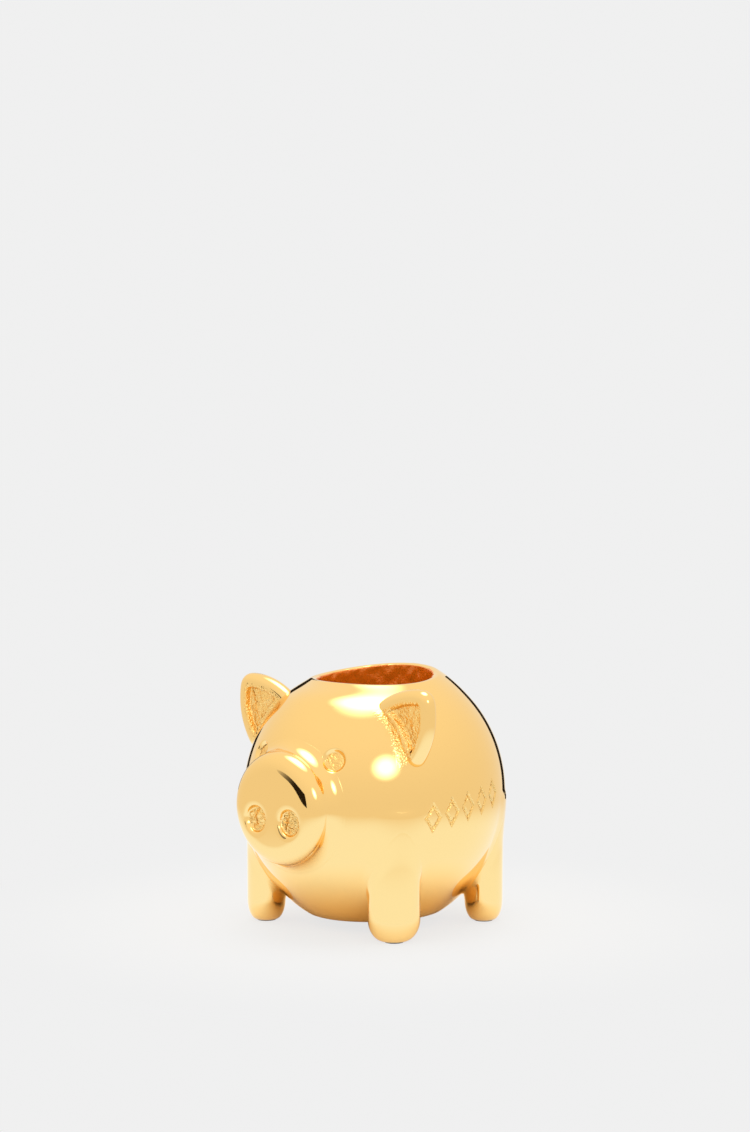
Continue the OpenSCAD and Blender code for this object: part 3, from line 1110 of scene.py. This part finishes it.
@dataclass
class Ear:
    """A rounded triangular ear with a thick smooth rim and a rough hollow that faces forward."""

    egg: Egg
    node: str
    side: int
    front: float = mm(21.7)
    thick: float = mm(5.6)
    angle: float = math.radians(52.3)
    circles: tuple[tuple[float, float, float], ...] = (
        (6.7, 8.9, 4.4), (0.0, 7.9, 4.6), (-7.2, 5.7, 3.6), (7.2, 0.7, 3.8), (4.4, -7.7, 3.0),
        (-6.0, -6.0, 3.0))
    rim: float = mm(4.2)
    rim_top: float = mm(0.5)
    rim_foot: float = mm(1.5)
    hollow: float = mm(2.1)
    sill: float = mm(1.3)
    crown: float = mm(0.8)
    middle: tuple[float, float] = (2.2, 0.6)
    back_rows: int = 12
    steps: int = 128

    def outline(self) -> list[tuple[float, float]]:
        """Half widths of the ear in each direction, eased so that its corners are round.

        Returns:
            For each step, the half width from the root and how fast it changes.
        """
        count = self.steps
        raw = []
        for i in range(count):
            t = math.tau * i / count
            raw.append(max(mm(x) * math.cos(t) + mm(z) * math.sin(t) + mm(r)
                           for x, z, r in self.circles))
        reach = 6
        weights = [math.cos(k / (reach + 1) * math.pi / 2) ** 2 for k in range(-reach, reach + 1)]
        total = sum(weights)
        eased = [sum(w * raw[(i + k - reach) % count] for k, w in enumerate(weights)) / total
                 for i in range(count)]
        step = math.tau / count
        return [(eased[i], (eased[(i + 1) % count] - eased[i - 1]) / (2 * step))
                for i in range(count)]

    def make(self, finishes: Finishes) -> bpy.types.Object:
        """Build the ear.

        Args:
            finishes: The finishes.

        Returns:
            The ear's object.
        """
        half = self.thick / 2
        root = self.egg.side_root(-self.front + half, self.angle)
        outline = self.outline()
        back = mm(3.4)
        section = [(back * (1 - math.sin(a)), half - half * math.cos(a))
                   for a in (math.pi - math.pi / 2 * i / 8 for i in range(8))]
        section += [(half * (1 - math.sin(a)), half - half * math.cos(a))
                    for a in (math.pi / 2 - math.pi / 2 * i / 10 for i in range(11))]
        crest = len(section) - 1
        section += [(self.rim - mm(0.75), mm(0.05)), (self.rim - mm(0.4), mm(0.3)),
                    (self.rim - mm(0.12), mm(0.9)), (self.rim, self.hollow * 0.75),
                    (self.rim + mm(0.25), self.hollow)]
        rings = 16

        def place(turn: float, row: int) -> Vector:
            """Place one point of the skin.

            Args:
                turn: The angle round the piece, in radians.
                row: The row along it.

            Returns:
                The point.
            """
            i = round(turn / math.tau * self.steps) % self.steps
            t = math.tau * i / self.steps
            size, slope = outline[i]
            rise = math.sin(t)
            wider = self.rim_top * rise if rise > 0 else self.rim_foot * rise * rise
            shrink = 1.0
            if row < self.back_rows:
                inset, deep = section[0]
                shrink = row / self.back_rows
                deep += self.crown * (1.0 - shrink * shrink) ** 2
            elif row < self.back_rows + len(section):
                inset, deep = section[row - self.back_rows]
                inset += wider if row > self.back_rows + crest else 0.0
            else:
                inset, deep = section[-1][0] + wider, section[-1][1]
                shrink = 1.0 - (row - self.back_rows + 1 - len(section)) / rings
            x = (size - inset) * math.cos(t) - slope * math.sin(t)
            z = (size - inset) * math.sin(t) + slope * math.cos(t)
            mid = Vector(self.middle) * 0.001
            flat = mid + (Vector((x, z)) - mid) * shrink
            return Vector((root.x + flat.x, -self.front + deep, root.z + flat.y))

        bm = Sweep(self.steps, self.back_rows + len(section) - 1 + rings).make(place)
        cast = bm.verts.layers.float["cast"]
        rows = bm.verts.layers.float["row"]
        mid_wall = self.egg.shrunk(mm(1.4))
        for vert in bm.verts:
            row = vert[rows]
            if row > self.back_rows + crest:
                sill = smooth(self.sill, self.sill + mm(0.7),
                              self.egg.gap(Vector((vert.co.x, -self.front, vert.co.z))))
                rough = max(1.0 - sill, 1.0 if row > crest + 9 else 0.0)
                vert[cast] = rough
                lumps = (noise.noise(vert.co * 700.0) * mm(0.4)
                         + noise.noise(vert.co * 1900.0) * mm(0.2))
                vert.co.y = (vert.co.y + self.front) * sill - self.front + lumps * rough
            if mid_wall.gap(vert.co) < 0.0:
                vert.co = mid_wall.seat(vert.co)
        if self.side < 0:
            bmesh.ops.scale(bm, verts=bm.verts, vec=(-1.0, 1.0, 1.0))
            bmesh.ops.recalc_face_normals(bm, faces=bm.faces)
        obj = finish_piece(bm, self.node + "_casting", finishes.gold)
        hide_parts(self.node)
        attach(obj, "pig")
        return obj


@dataclass
class Tail:
    """A curl of round bar against the rump that thins towards its tip."""

    egg: Egg
    centre: tuple[float, float, float] = (mm(-4.2), mm(47.0), mm(44.28))
    curl: float = mm(4.2)
    bar: float = mm(1.95)
    rows: int = 110
    steps: int = 28

    def path(self, t: float) -> tuple[Vector, float]:
        """A point on the bar's middle line and the bar's radius there.

        Args:
            t: From 0 at the root inside the wall to 1 at the tip.

        Returns:
            The point and the radius.
        """
        cx, cy, cz = self.centre
        root = 0.16
        if t < root:
            k = t / root
            bend = smooth(0.55, 1.0, k)
            point = Vector((cx + self.curl, cy - mm(4.6) * (1.0 - k) ** 1.2,
                            cz - mm(1.6) * (1 - k)))
            return point + Vector((0, 0, mm(0.2))) * bend, self.bar * (1.25 - 0.25 * k)
        k = (t - root) / (1.0 - root)
        turn = k * math.radians(415.0)
        r = self.curl * (1.0 - 0.56 * smooth(0.25, 1.15, k))
        point = Vector((cx + r * math.cos(turn), cy,
                        cz + mm(0.2) * (1 - k) + r * math.sin(turn)))
        return point, self.bar * (1.0 - 0.62 * smooth(0.2, 1.0, k))

    def make(self, finishes: Finishes) -> bpy.types.Object:
        """Build the tail.

        Args:
            finishes: The finishes.

        Returns:
            The tail's object.
        """
        last = self.rows + 8

        def place(turn: float, row: int) -> Vector:
            """Place one point of the skin.

            Args:
                turn: The angle round the piece, in radians.
                row: The row along it.

            Returns:
                The point.
            """
            t = min(row / self.rows, 1.0)
            point, radius = self.path(t)
            ahead = self.path(min(t + 0.004, 1.0))[0] - self.path(max(t - 0.004, 0.0))[0]
            ahead.normalize()
            side = ahead.cross(Vector((0, 1, 0)))
            if side.length < 0.2:
                side = Vector((1, 0, 0)) - ahead * ahead.x
            side.normalize()
            up = side.cross(ahead)
            if row > self.rows:
                a = (row - self.rows) / 8 * math.pi / 2
                point = point + ahead * (radius * math.sin(a))
                radius *= math.cos(a)
            if row == 0:
                radius = 0.0
            return point + (side * math.cos(turn) + up * math.sin(turn)) * radius

        bm = Sweep(self.steps, last).make(place)
        obj = finish_piece(bm, "curled_tail", finishes.gold)
        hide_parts("tail")
        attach(obj, "pig")
        return obj


@dataclass
class BellyPlug:
    """The screw plug: a flat head with a coin slot, a threaded skirt and a dished top."""

    low: float = mm(3.5)
    head_r: float = mm(16.5)
    head_t: float = mm(1.8)
    thread_r: float = mm(13.9)
    thread_l: float = mm(6.0)
    pitch: float = mm(2.0)
    thread_depth: float = mm(0.9)
    dish_r: float = mm(10.5)
    dish_depth: float = mm(3.0)
    slot: tuple[float, float, float] = (mm(25), mm(2.6), mm(1.5))
    steps: int = 160

    def make(self, finishes: Finishes) -> bpy.types.Object:
        """Build the plug.

        Args:
            finishes: The finishes.

        Returns:
            The plug's object.
        """
        head_top = self.low + self.head_t
        top = head_top + self.thread_l
        thread = Thread(self.thread_r, self.pitch, self.thread_depth, head_top + mm(0.9),
                        top - mm(0.3))
        rows = 44
        edge = mm(0.4)
        low = [(0.0, self.low), (self.head_r * 0.5, self.low), (self.head_r - edge, self.low)]
        low += arc(self.head_r - edge, self.low + edge, edge, -math.pi / 2, 0.0, 5)[1:]
        low += [(self.head_r, head_top - mm(0.2)), (self.head_r - mm(0.2), head_top),
                (self.thread_r - self.thread_depth, head_top)]
        high = [(self.thread_r - self.thread_depth, top), (self.dish_r + mm(0.4), top),
                (self.dish_r, top - mm(0.4)), (self.dish_r, top - self.dish_depth + mm(0.5)),
                (self.dish_r - mm(0.5), top - self.dish_depth), (0.0, top - self.dish_depth)]

        def place(turn: float, row: int) -> Vector:
            """Place one point of the skin.

            Args:
                turn: The angle round the piece, in radians.
                row: The row along it.

            Returns:
                The point.
            """
            if row < len(low):
                r, z = low[row]
            elif row < len(low) + rows:
                z = head_top + self.thread_l * (row - len(low) + 1) / (rows + 1)
                r, z = thread.point(turn, z)
            else:
                r, z = high[row - len(low) - rows]
            return Vector((r * math.cos(turn), r * math.sin(turn), z))

        bm = Sweep(self.steps, len(low) + rows + len(high) - 1).make(place)
        obj = finish_piece(bm, "threaded_belly_plug", finishes.brass)
        length, width, depth = self.slot
        cutter = bmesh.new()
        bmesh.ops.create_cube(cutter, size=1.0)
        bmesh.ops.scale(cutter, verts=cutter.verts, vec=(length, width, depth * 2))
        bmesh.ops.translate(cutter, verts=cutter.verts, vec=(0, 0, self.low))
        cut(obj, cutter)
        sharpen(obj)
        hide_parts("belly_plug")
        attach(obj, "plug_body")
        return obj


def sharpen(obj: bpy.types.Object, degrees: float = 32.0) -> None:
    """Keep an object's hard edges hard and its curves smooth.

    Args:
        obj: The object.
        degrees: The angle between faces above which an edge stays hard.
    """
    bm = bmesh.new()
    bm.from_mesh(obj.data)
    for face in bm.faces:
        face.smooth = True
    for edge in bm.edges:
        edge.smooth = edge.is_manifold and edge.calc_face_angle(0.0) < math.radians(degrees)
    bm.to_mesh(obj.data)
    bm.free()


# --------------------------------------------------------------------------- the studio


@dataclass
class Studio:
    """A plain pale floor, soft boxes and dark flags, and the camera."""

    aim: Vector
    azimuth: float = math.radians(40.58)
    elevation: float = math.radians(9.06)
    distance: float = 0.9
    lens: float = 89.5
    shift_y: float = 0.2003
    backdrop: float = 0.87
    room: tuple[float, float] = (0.86, 0.98)
    room_tint: tuple[float, float, float] = (1.04, 1.0, 0.91)
    table: float = 1.13
    table_tint: tuple[float, float, float] = (0.88, 1.0, 1.17)
    flag_edge: float = 0.004
    arch_play: tuple[float, float] = (0.022, 0.02)

    def direction(self, azimuth: float, elevation: float) -> Vector:
        """The direction from the bank at an azimuth from -Y towards +X, and an elevation."""
        return Vector((math.sin(azimuth) * math.cos(elevation),
                       -math.cos(azimuth) * math.cos(elevation), math.sin(elevation)))

    def camera(self) -> None:
        """Create the camera."""
        data = bpy.data.cameras.new("camera")
        data.sensor_width = 36.0
        data.lens = self.lens
        data.shift_y = self.shift_y
        data.clip_start, data.clip_end = 0.01, 60.0
        obj = bpy.data.objects.new("camera", data)
        back = self.direction(self.azimuth, self.elevation)
        obj.location = self.aim + back * self.distance
        obj.rotation_euler = back.to_track_quat("Z", "Y").to_euler()
        bpy.context.scene.collection.objects.link(obj)
        bpy.context.scene.camera = obj

    def world(self) -> None:
        """Surround the bank with even light grey, as bright as the floor where it is seen."""
        world = bpy.data.worlds.new("studio_air")
        world.use_nodes = True
        nodes, links = world.node_tree.nodes, world.node_tree.links
        room = nodes["Background"]
        coords = nodes.new("ShaderNodeTexCoord")
        split = nodes.new("ShaderNodeSeparateXYZ")
        links.new(coords.outputs["Generated"], split.inputs[0])
        climb = nodes.new("ShaderNodeMapRange")
        climb.interpolation_type = "SMOOTHSTEP"
        climb.inputs["From Min"].default_value = -0.1
        climb.inputs["From Max"].default_value = 0.95
        climb.inputs["To Min"].default_value = self.room[0]
        climb.inputs["To Max"].default_value = self.room[1]
        links.new(split.outputs["Z"], climb.inputs["Value"])
        room.inputs["Color"].default_value = (*self.room_tint, 1.0)
        links.new(climb.outputs["Result"], room.inputs["Strength"])
        seen = nodes.new("ShaderNodeBackground")
        seen.inputs["Color"].default_value = (1.0, 1.0, 1.0, 1.0)
        seen.inputs["Strength"].default_value = self.backdrop
        path = nodes.new("ShaderNodeLightPath")
        mix = nodes.new("ShaderNodeMixShader")
        links.new(path.outputs["Is Camera Ray"], mix.inputs["Fac"])
        links.new(room.outputs[0], mix.inputs[1])
        links.new(seen.outputs[0], mix.inputs[2])
        links.new(mix.outputs[0], nodes["World Output"].inputs["Surface"])
        bpy.context.scene.world = world

    def floor(self) -> None:
        """Lay a wide pale floor that catches a faint shadow near the bank."""
        bm = bmesh.new()
        bmesh.ops.create_circle(bm, cap_ends=True, segments=96, radius=20.0)
        mesh = bpy.data.meshes.new("floor")
        bm.to_mesh(mesh)
        bm.free()
        mat = bpy.data.materials.new("pale_paper")
        mat.use_nodes = True
        nodes, links = mat.node_tree.nodes, mat.node_tree.links
        nodes.remove(nodes["Principled BSDF"])
        paper = nodes.new("ShaderNodeBsdfDiffuse")
        paper.inputs["Color"].default_value = (0.93, 0.93, 0.93, 1.0)
        # Paper that the bank mirrors right next to it: its gold tint is painted light standing in
        # for the light the bank throws on the floor, and its shade under the bank is traced.
        shaded = nodes.new("ShaderNodeBsdfDiffuse")
        shaded.inputs["Color"].default_value = (0.96, 0.84, 0.62, 1.0)
        coords = nodes.new("ShaderNodeTexCoord")
        length = nodes.new("ShaderNodeVectorMath")
        length.operation = "LENGTH"
        links.new(coords.outputs["Object"], length.inputs[0])

        # What the bank mirrors: a lit patch of table round it that falls off to the room's grey.
        spill = self.ease(nodes, links, length.outputs["Value"], 0.11, 0.27, 0.0, 1.0)
        lit = nodes.new("ShaderNodeMix")
        lit.data_type = "RGBA"
        lit.inputs["A"].default_value = (*(self.table * c for c in self.table_tint), 1.0)
        lit.inputs["B"].default_value = (*(self.room[0] * c for c in self.room_tint), 1.0)
        links.new(spill, lit.inputs["Factor"])
        mirrored = nodes.new("ShaderNodeEmission")
        links.new(lit.outputs["Result"], mirrored.inputs["Color"])
        # Close to the bank the mirrored floor turns into the gold-tinted paper with its painted
        # gold light.
        under = self.ease(nodes, links, length.outputs["Value"], 0.022, 0.062, 0.0, 1.0)
        near = nodes.new("ShaderNodeMixShader")
        links.new(under, near.inputs["Fac"])
        links.new(shaded.outputs[0], near.inputs[1])
        links.new(mirrored.outputs[0], near.inputs[2])

        glow = nodes.new("ShaderNodeEmission")
        glow.inputs["Strength"].default_value = self.backdrop
        far = self.ease(nodes, links, length.outputs["Value"], 0.03, 0.14, 0.86, 1.0)
        seen = nodes.new("ShaderNodeMixShader")
        links.new(far, seen.inputs["Fac"])
        links.new(paper.outputs[0], seen.inputs[1])
        links.new(glow.outputs[0], seen.inputs[2])
        path = nodes.new("ShaderNodeLightPath")
        mix = nodes.new("ShaderNodeMixShader")
        links.new(path.outputs["Is Camera Ray"], mix.inputs["Fac"])
        links.new(near.outputs[0], mix.inputs[1])
        links.new(seen.outputs[0], mix.inputs[2])
        side = nodes.new("ShaderNodeNewGeometry")
        clear = nodes.new("ShaderNodeBsdfTransparent")
        top_only = nodes.new("ShaderNodeMixShader")
        links.new(side.outputs["Backfacing"], top_only.inputs["Fac"])
        links.new(mix.outputs[0], top_only.inputs[1])
        links.new(clear.outputs[0], top_only.inputs[2])
        links.new(top_only.outputs[0], nodes["Material Output"].inputs["Surface"])
        mesh.materials.append(mat)
        obj = bpy.data.objects.new("floor", mesh)
        bpy.context.scene.collection.objects.link(obj)

    def ease(self, nodes: bpy.types.Nodes, links: bpy.types.NodeLinks,
             source: bpy.types.NodeSocket, start: float, end: float, first: float,
             last: float) -> bpy.types.NodeSocket:
        """Add a smooth step to a material.

        Args:
            nodes: The material's nodes.
            links: Its links.
            source: The value to ease.
            start: The value that gives first.
            end: The value that gives last.
            first: The result at start.
            last: The result at end.

        Returns:
            The socket of the result.
        """
        step = nodes.new("ShaderNodeMapRange")
        step.interpolation_type = "SMOOTHSTEP"
        for name, value in (("From Min", start), ("From Max", end), ("To Min", first),
                            ("To Max", last)):
            step.inputs[name].default_value = value
        links.new(source, step.inputs["Value"])
        return step.outputs["Result"]

    def flag_finish(self, name: str, low: float, high: float) -> bpy.types.Material:
        """A near-black cloth that only mirrors in the parts of the bank a set way from it.

        Args:
            name: The material's name.
            low: The shortest way from the bank to the cloth at which it shows, in metres.
            high: The longest.

        Returns:
            The material.
        """
        mat = bpy.data.materials.new(name)
        mat.use_nodes = True
        nodes, links = mat.node_tree.nodes, mat.node_tree.links
        nodes.remove(nodes["Principled BSDF"])
        dark = nodes.new("ShaderNodeEmission")
        dark.inputs["Color"].default_value = (0.02, 0.015, 0.01, 1.0)
        clear = nodes.new("ShaderNodeBsdfTransparent")
        path = nodes.new("ShaderNodeLightPath")
        edge = self.flag_edge
        way = path.outputs["Ray Length"]
        near = self.ease(nodes, links, way, low - edge, low + edge, 0.0, 1.0)
        far = self.ease(nodes, links, way, high - edge, high + edge, 1.0, 0.0)
        both = nodes.new("ShaderNodeMath")
        both.operation = "MULTIPLY"
        links.new(near, both.inputs[0])
        links.new(far, both.inputs[1])
        mix = nodes.new("ShaderNodeMixShader")
        links.new(both.outputs[0], mix.inputs["Fac"])
        links.new(clear.outputs[0], mix.inputs[1])
        links.new(dark.outputs[0], mix.inputs[2])
        links.new(mix.outputs[0], nodes["Material Output"].inputs["Surface"])
        return mat

    def hang_flag(self, bm: bmesh.types.BMesh, name: str, low: float, high: float) -> None:
        """Hang a flag made from a mesh.

        Args:
            bm: The mesh, which is freed.
            name: The flag's name.
            low: The shortest way at which it shows, in metres.
            high: The longest.
        """
        mesh = bpy.data.meshes.new(name)
        bm.to_mesh(mesh)
        bm.free()
        mesh.materials.append(self.flag_finish(name, low, high))
        obj = bpy.data.objects.new(name, mesh)
        obj.visible_camera = obj.visible_diffuse = obj.visible_shadow = False
        bpy.context.scene.collection.objects.link(obj)

    def card(self, name: str, centre: Vector, azimuths: tuple[float, float],
             elevations: tuple[float, float], distance: float, spread: float) -> None:
        """Hang a dark card that is curved round one point of the bank.

        Args:
            name: The card's name.
            centre: The point.
            azimuths: Its sides, in degrees from the camera's side towards the camera's right.
            elevations: Its lower and upper edges in degrees.
            distance: Its distance from the point, in metres.
            spread: How far the way to it may differ from distance where it shows, in metres.
        """
        bm = bmesh.new()
        bmesh.ops.create_grid(bm, x_segments=16, y_segments=8, size=0.5)
        for vert in bm.verts:
            az = azimuths[0] + (azimuths[1] - azimuths[0]) * (vert.co.x + 0.5)
            el = elevations[0] + (elevations[1] - elevations[0]) * (vert.co.y + 0.5)
            vert.co = centre + distance * self.direction(self.azimuth + math.radians(az),
                                                         math.radians(el))
        self.hang_flag(bm, name, distance - spread, distance + spread)

    def arch(self, name: str, start: float, end: float, inner: float = 23.0,
             outer: float = 34.5, distance: float = 0.27) -> None:
        """Bend a black flag round the line from the camera through the bank, behind the bank.

        Args:
            name: The flag's name.
            start: Where it starts, in degrees from the top towards the camera's right.
            end: Where it ends.
            inner: Its inner edge, in degrees off the line.
            outer: Its outer edge.
            distance: How far away it hangs, in metres.
        """
        ahead = -self.direction(self.azimuth, self.elevation)
        right = ahead.cross(Vector((0.0, 0.0, 1.0))).normalized()
        up = right.cross(ahead)

        def spot(off: float, turn: float) -> Vector:
            """A point of the flag, off the line and turned about it, in degrees."""
            a, b = math.radians(off), math.radians(turn)
            return self.aim + (ahead * math.cos(a) + (up * math.cos(b) + right * math.sin(b))
                               * math.sin(a)) * distance

        bm = bmesh.new()
        edge = bm.edges.new([bm.verts.new(spot(inner, start)), bm.verts.new(spot(outer, start))])
        bmesh.ops.spin(bm, geom=[edge, *edge.verts], cent=self.aim, axis=ahead,
                       angle=math.radians(end - start), steps=32, use_merge=False)
        nearer, further = self.arch_play
        self.hang_flag(bm, name, distance - nearer, distance + further)

    def panel(self, name: str, azimuth: float, elevation: float, width: float, height: float,
              strength: float, soft: float, distance: float = 2.4) -> None:
        """Hang an oval soft box.

        Args:
            name: The panel's name.
            azimuth: Its direction in degrees, from the camera's side towards the camera's right.
            elevation: Its height in degrees above the bank.
            width: Its width in degrees as the bank sees it.
            height: Its height in degrees.
            strength: How bright it is.
            soft: Share of its half size over which its edge fades.
            distance: How far away it hangs, in metres.
        """
        half = (distance * math.tan(math.radians(width / 2)),
                distance * math.tan(math.radians(height / 2)))
        bm = bmesh.new()
        bmesh.ops.create_grid(bm, x_segments=1, y_segments=1, size=1.0)
        mesh = bpy.data.meshes.new(name)
        bm.to_mesh(mesh)
        bm.free()
        mat = bpy.data.materials.new(name)
        mat.use_nodes = True
        nodes, links = mat.node_tree.nodes, mat.node_tree.links
        nodes.remove(nodes["Principled BSDF"])
        glow = nodes.new("ShaderNodeEmission")
        glow.inputs["Strength"].default_value = strength
        clear = nodes.new("ShaderNodeBsdfTransparent")
        coords = nodes.new("ShaderNodeTexCoord")
        away = nodes.new("ShaderNodeVectorMath")
        away.operation = "LENGTH"
        links.new(coords.outputs["Object"], away.inputs[0])
        fade = self.ease(nodes, links, away.outputs["Value"], 1.0 - soft, 1.0, 1.0, 0.0)
        mix = nodes.new("ShaderNodeMixShader")
        links.new(fade, mix.inputs["Fac"])
        links.new(clear.outputs[0], mix.inputs[1])
        links.new(glow.outputs[0], mix.inputs[2])
        links.new(mix.outputs[0], nodes["Material Output"].inputs["Surface"])
        mesh.materials.append(mat)
        obj = bpy.data.objects.new(name, mesh)
        out = self.direction(self.azimuth + math.radians(azimuth), math.radians(elevation))
        obj.location = self.aim + out * distance
        turned = out.to_track_quat("Z", "Y").to_matrix().to_4x4()
        obj.matrix_world = (Matrix.Translation(obj.location) @ turned
                            @ Matrix.Diagonal((half[0], half[1], 1.0, 1.0)))
        obj.visible_camera = False
        bpy.context.scene.collection.objects.link(obj)

    def build(self) -> None:
        """Set up the whole studio."""
        bpy.context.scene.view_settings.view_transform = "Standard"
        self.camera()
        self.world()
        self.floor()
        self.panel("overhead_soft_box", 180.0, 84.0, 52.0, 56.0, 4.6, soft=0.75)
        self.panel("round_soft_box", 22.0, 26.5, 29.0, 24.0, 4.2, soft=0.85)
        self.card("front_card", self.aim + Vector((mm(11.0), mm(-48.5), mm(6.0))),
                  (-79.5, -36.0), (-6.0, 11.0), 0.8, 0.005)
        self.arch("left_flag", -84.0, -15.0)
        self.arch("right_flag", 34.0, 92.0)


def dress_carried_nodes(finishes: Finishes) -> None:
    """Give the fasteners and other carried-over parts their finishes.

    Args:
        finishes: The finishes.
    """
    chosen = {"snout_washer": finishes.steel, "snout_nut": finishes.steel,
              "leg_screws": finishes.steel, "leg_washers": finishes.steel,
              "foot_pads": finishes.rubber, "belly_collar": finishes.brass,
              "plug_gasket": finishes.fibre}
    for name, material in chosen.items():
        obj = bpy.data.objects[name]
        for slot in obj.material_slots:
            slot.material = material
        if not obj.material_slots:
            obj.data.materials.append(material)
        LOG.info("dressed %s in %s", name, material.name)


def main() -> None:
    """Build every piece of the bank, dress the carried-over parts and set up the studio."""
    logging.basicConfig(level=logging.INFO, format="%(message)s")
    centre_z = mm(41.282)
    egg = Egg(mm(40.0), mm(44.2), mm(44.0), centre_z)
    Studio(Vector((0.0, 0.0, centre_z))).build()
    finishes = Finishes()
    legs = LegForm(egg)
    body_form = Body(egg, legs)
    body = body_form.make(finishes)
    LOG.info("body: %d faces", len(body.data.polygons))
    snout = Snout(egg, body_form).make(finishes)
    LOG.info("snout: %d faces", len(snout.data.polygons))
    for node, side in (("left_ear", 1), ("right_ear", -1)):
        ear = Ear(egg, node, side).make(finishes)
        LOG.info("%s: %d faces", node, len(ear.data.polygons))
    for node, side, end in (("front_left_leg", 1, -1), ("front_right_leg", -1, -1),
                            ("rear_left_leg", 1, 1), ("rear_right_leg", -1, 1)):
        leg = Leg(legs, node, side, end).make(finishes)
        LOG.info("%s: %d faces", node, len(leg.data.polygons))
    tail = Tail(egg).make(finishes)
    LOG.info("tail: %d faces", len(tail.data.polygons))
    plug = BellyPlug().make(finishes)
    LOG.info("plug: %d faces", len(plug.data.polygons))
    dress_carried_nodes(finishes)


if __name__ == "__main__":
    main()
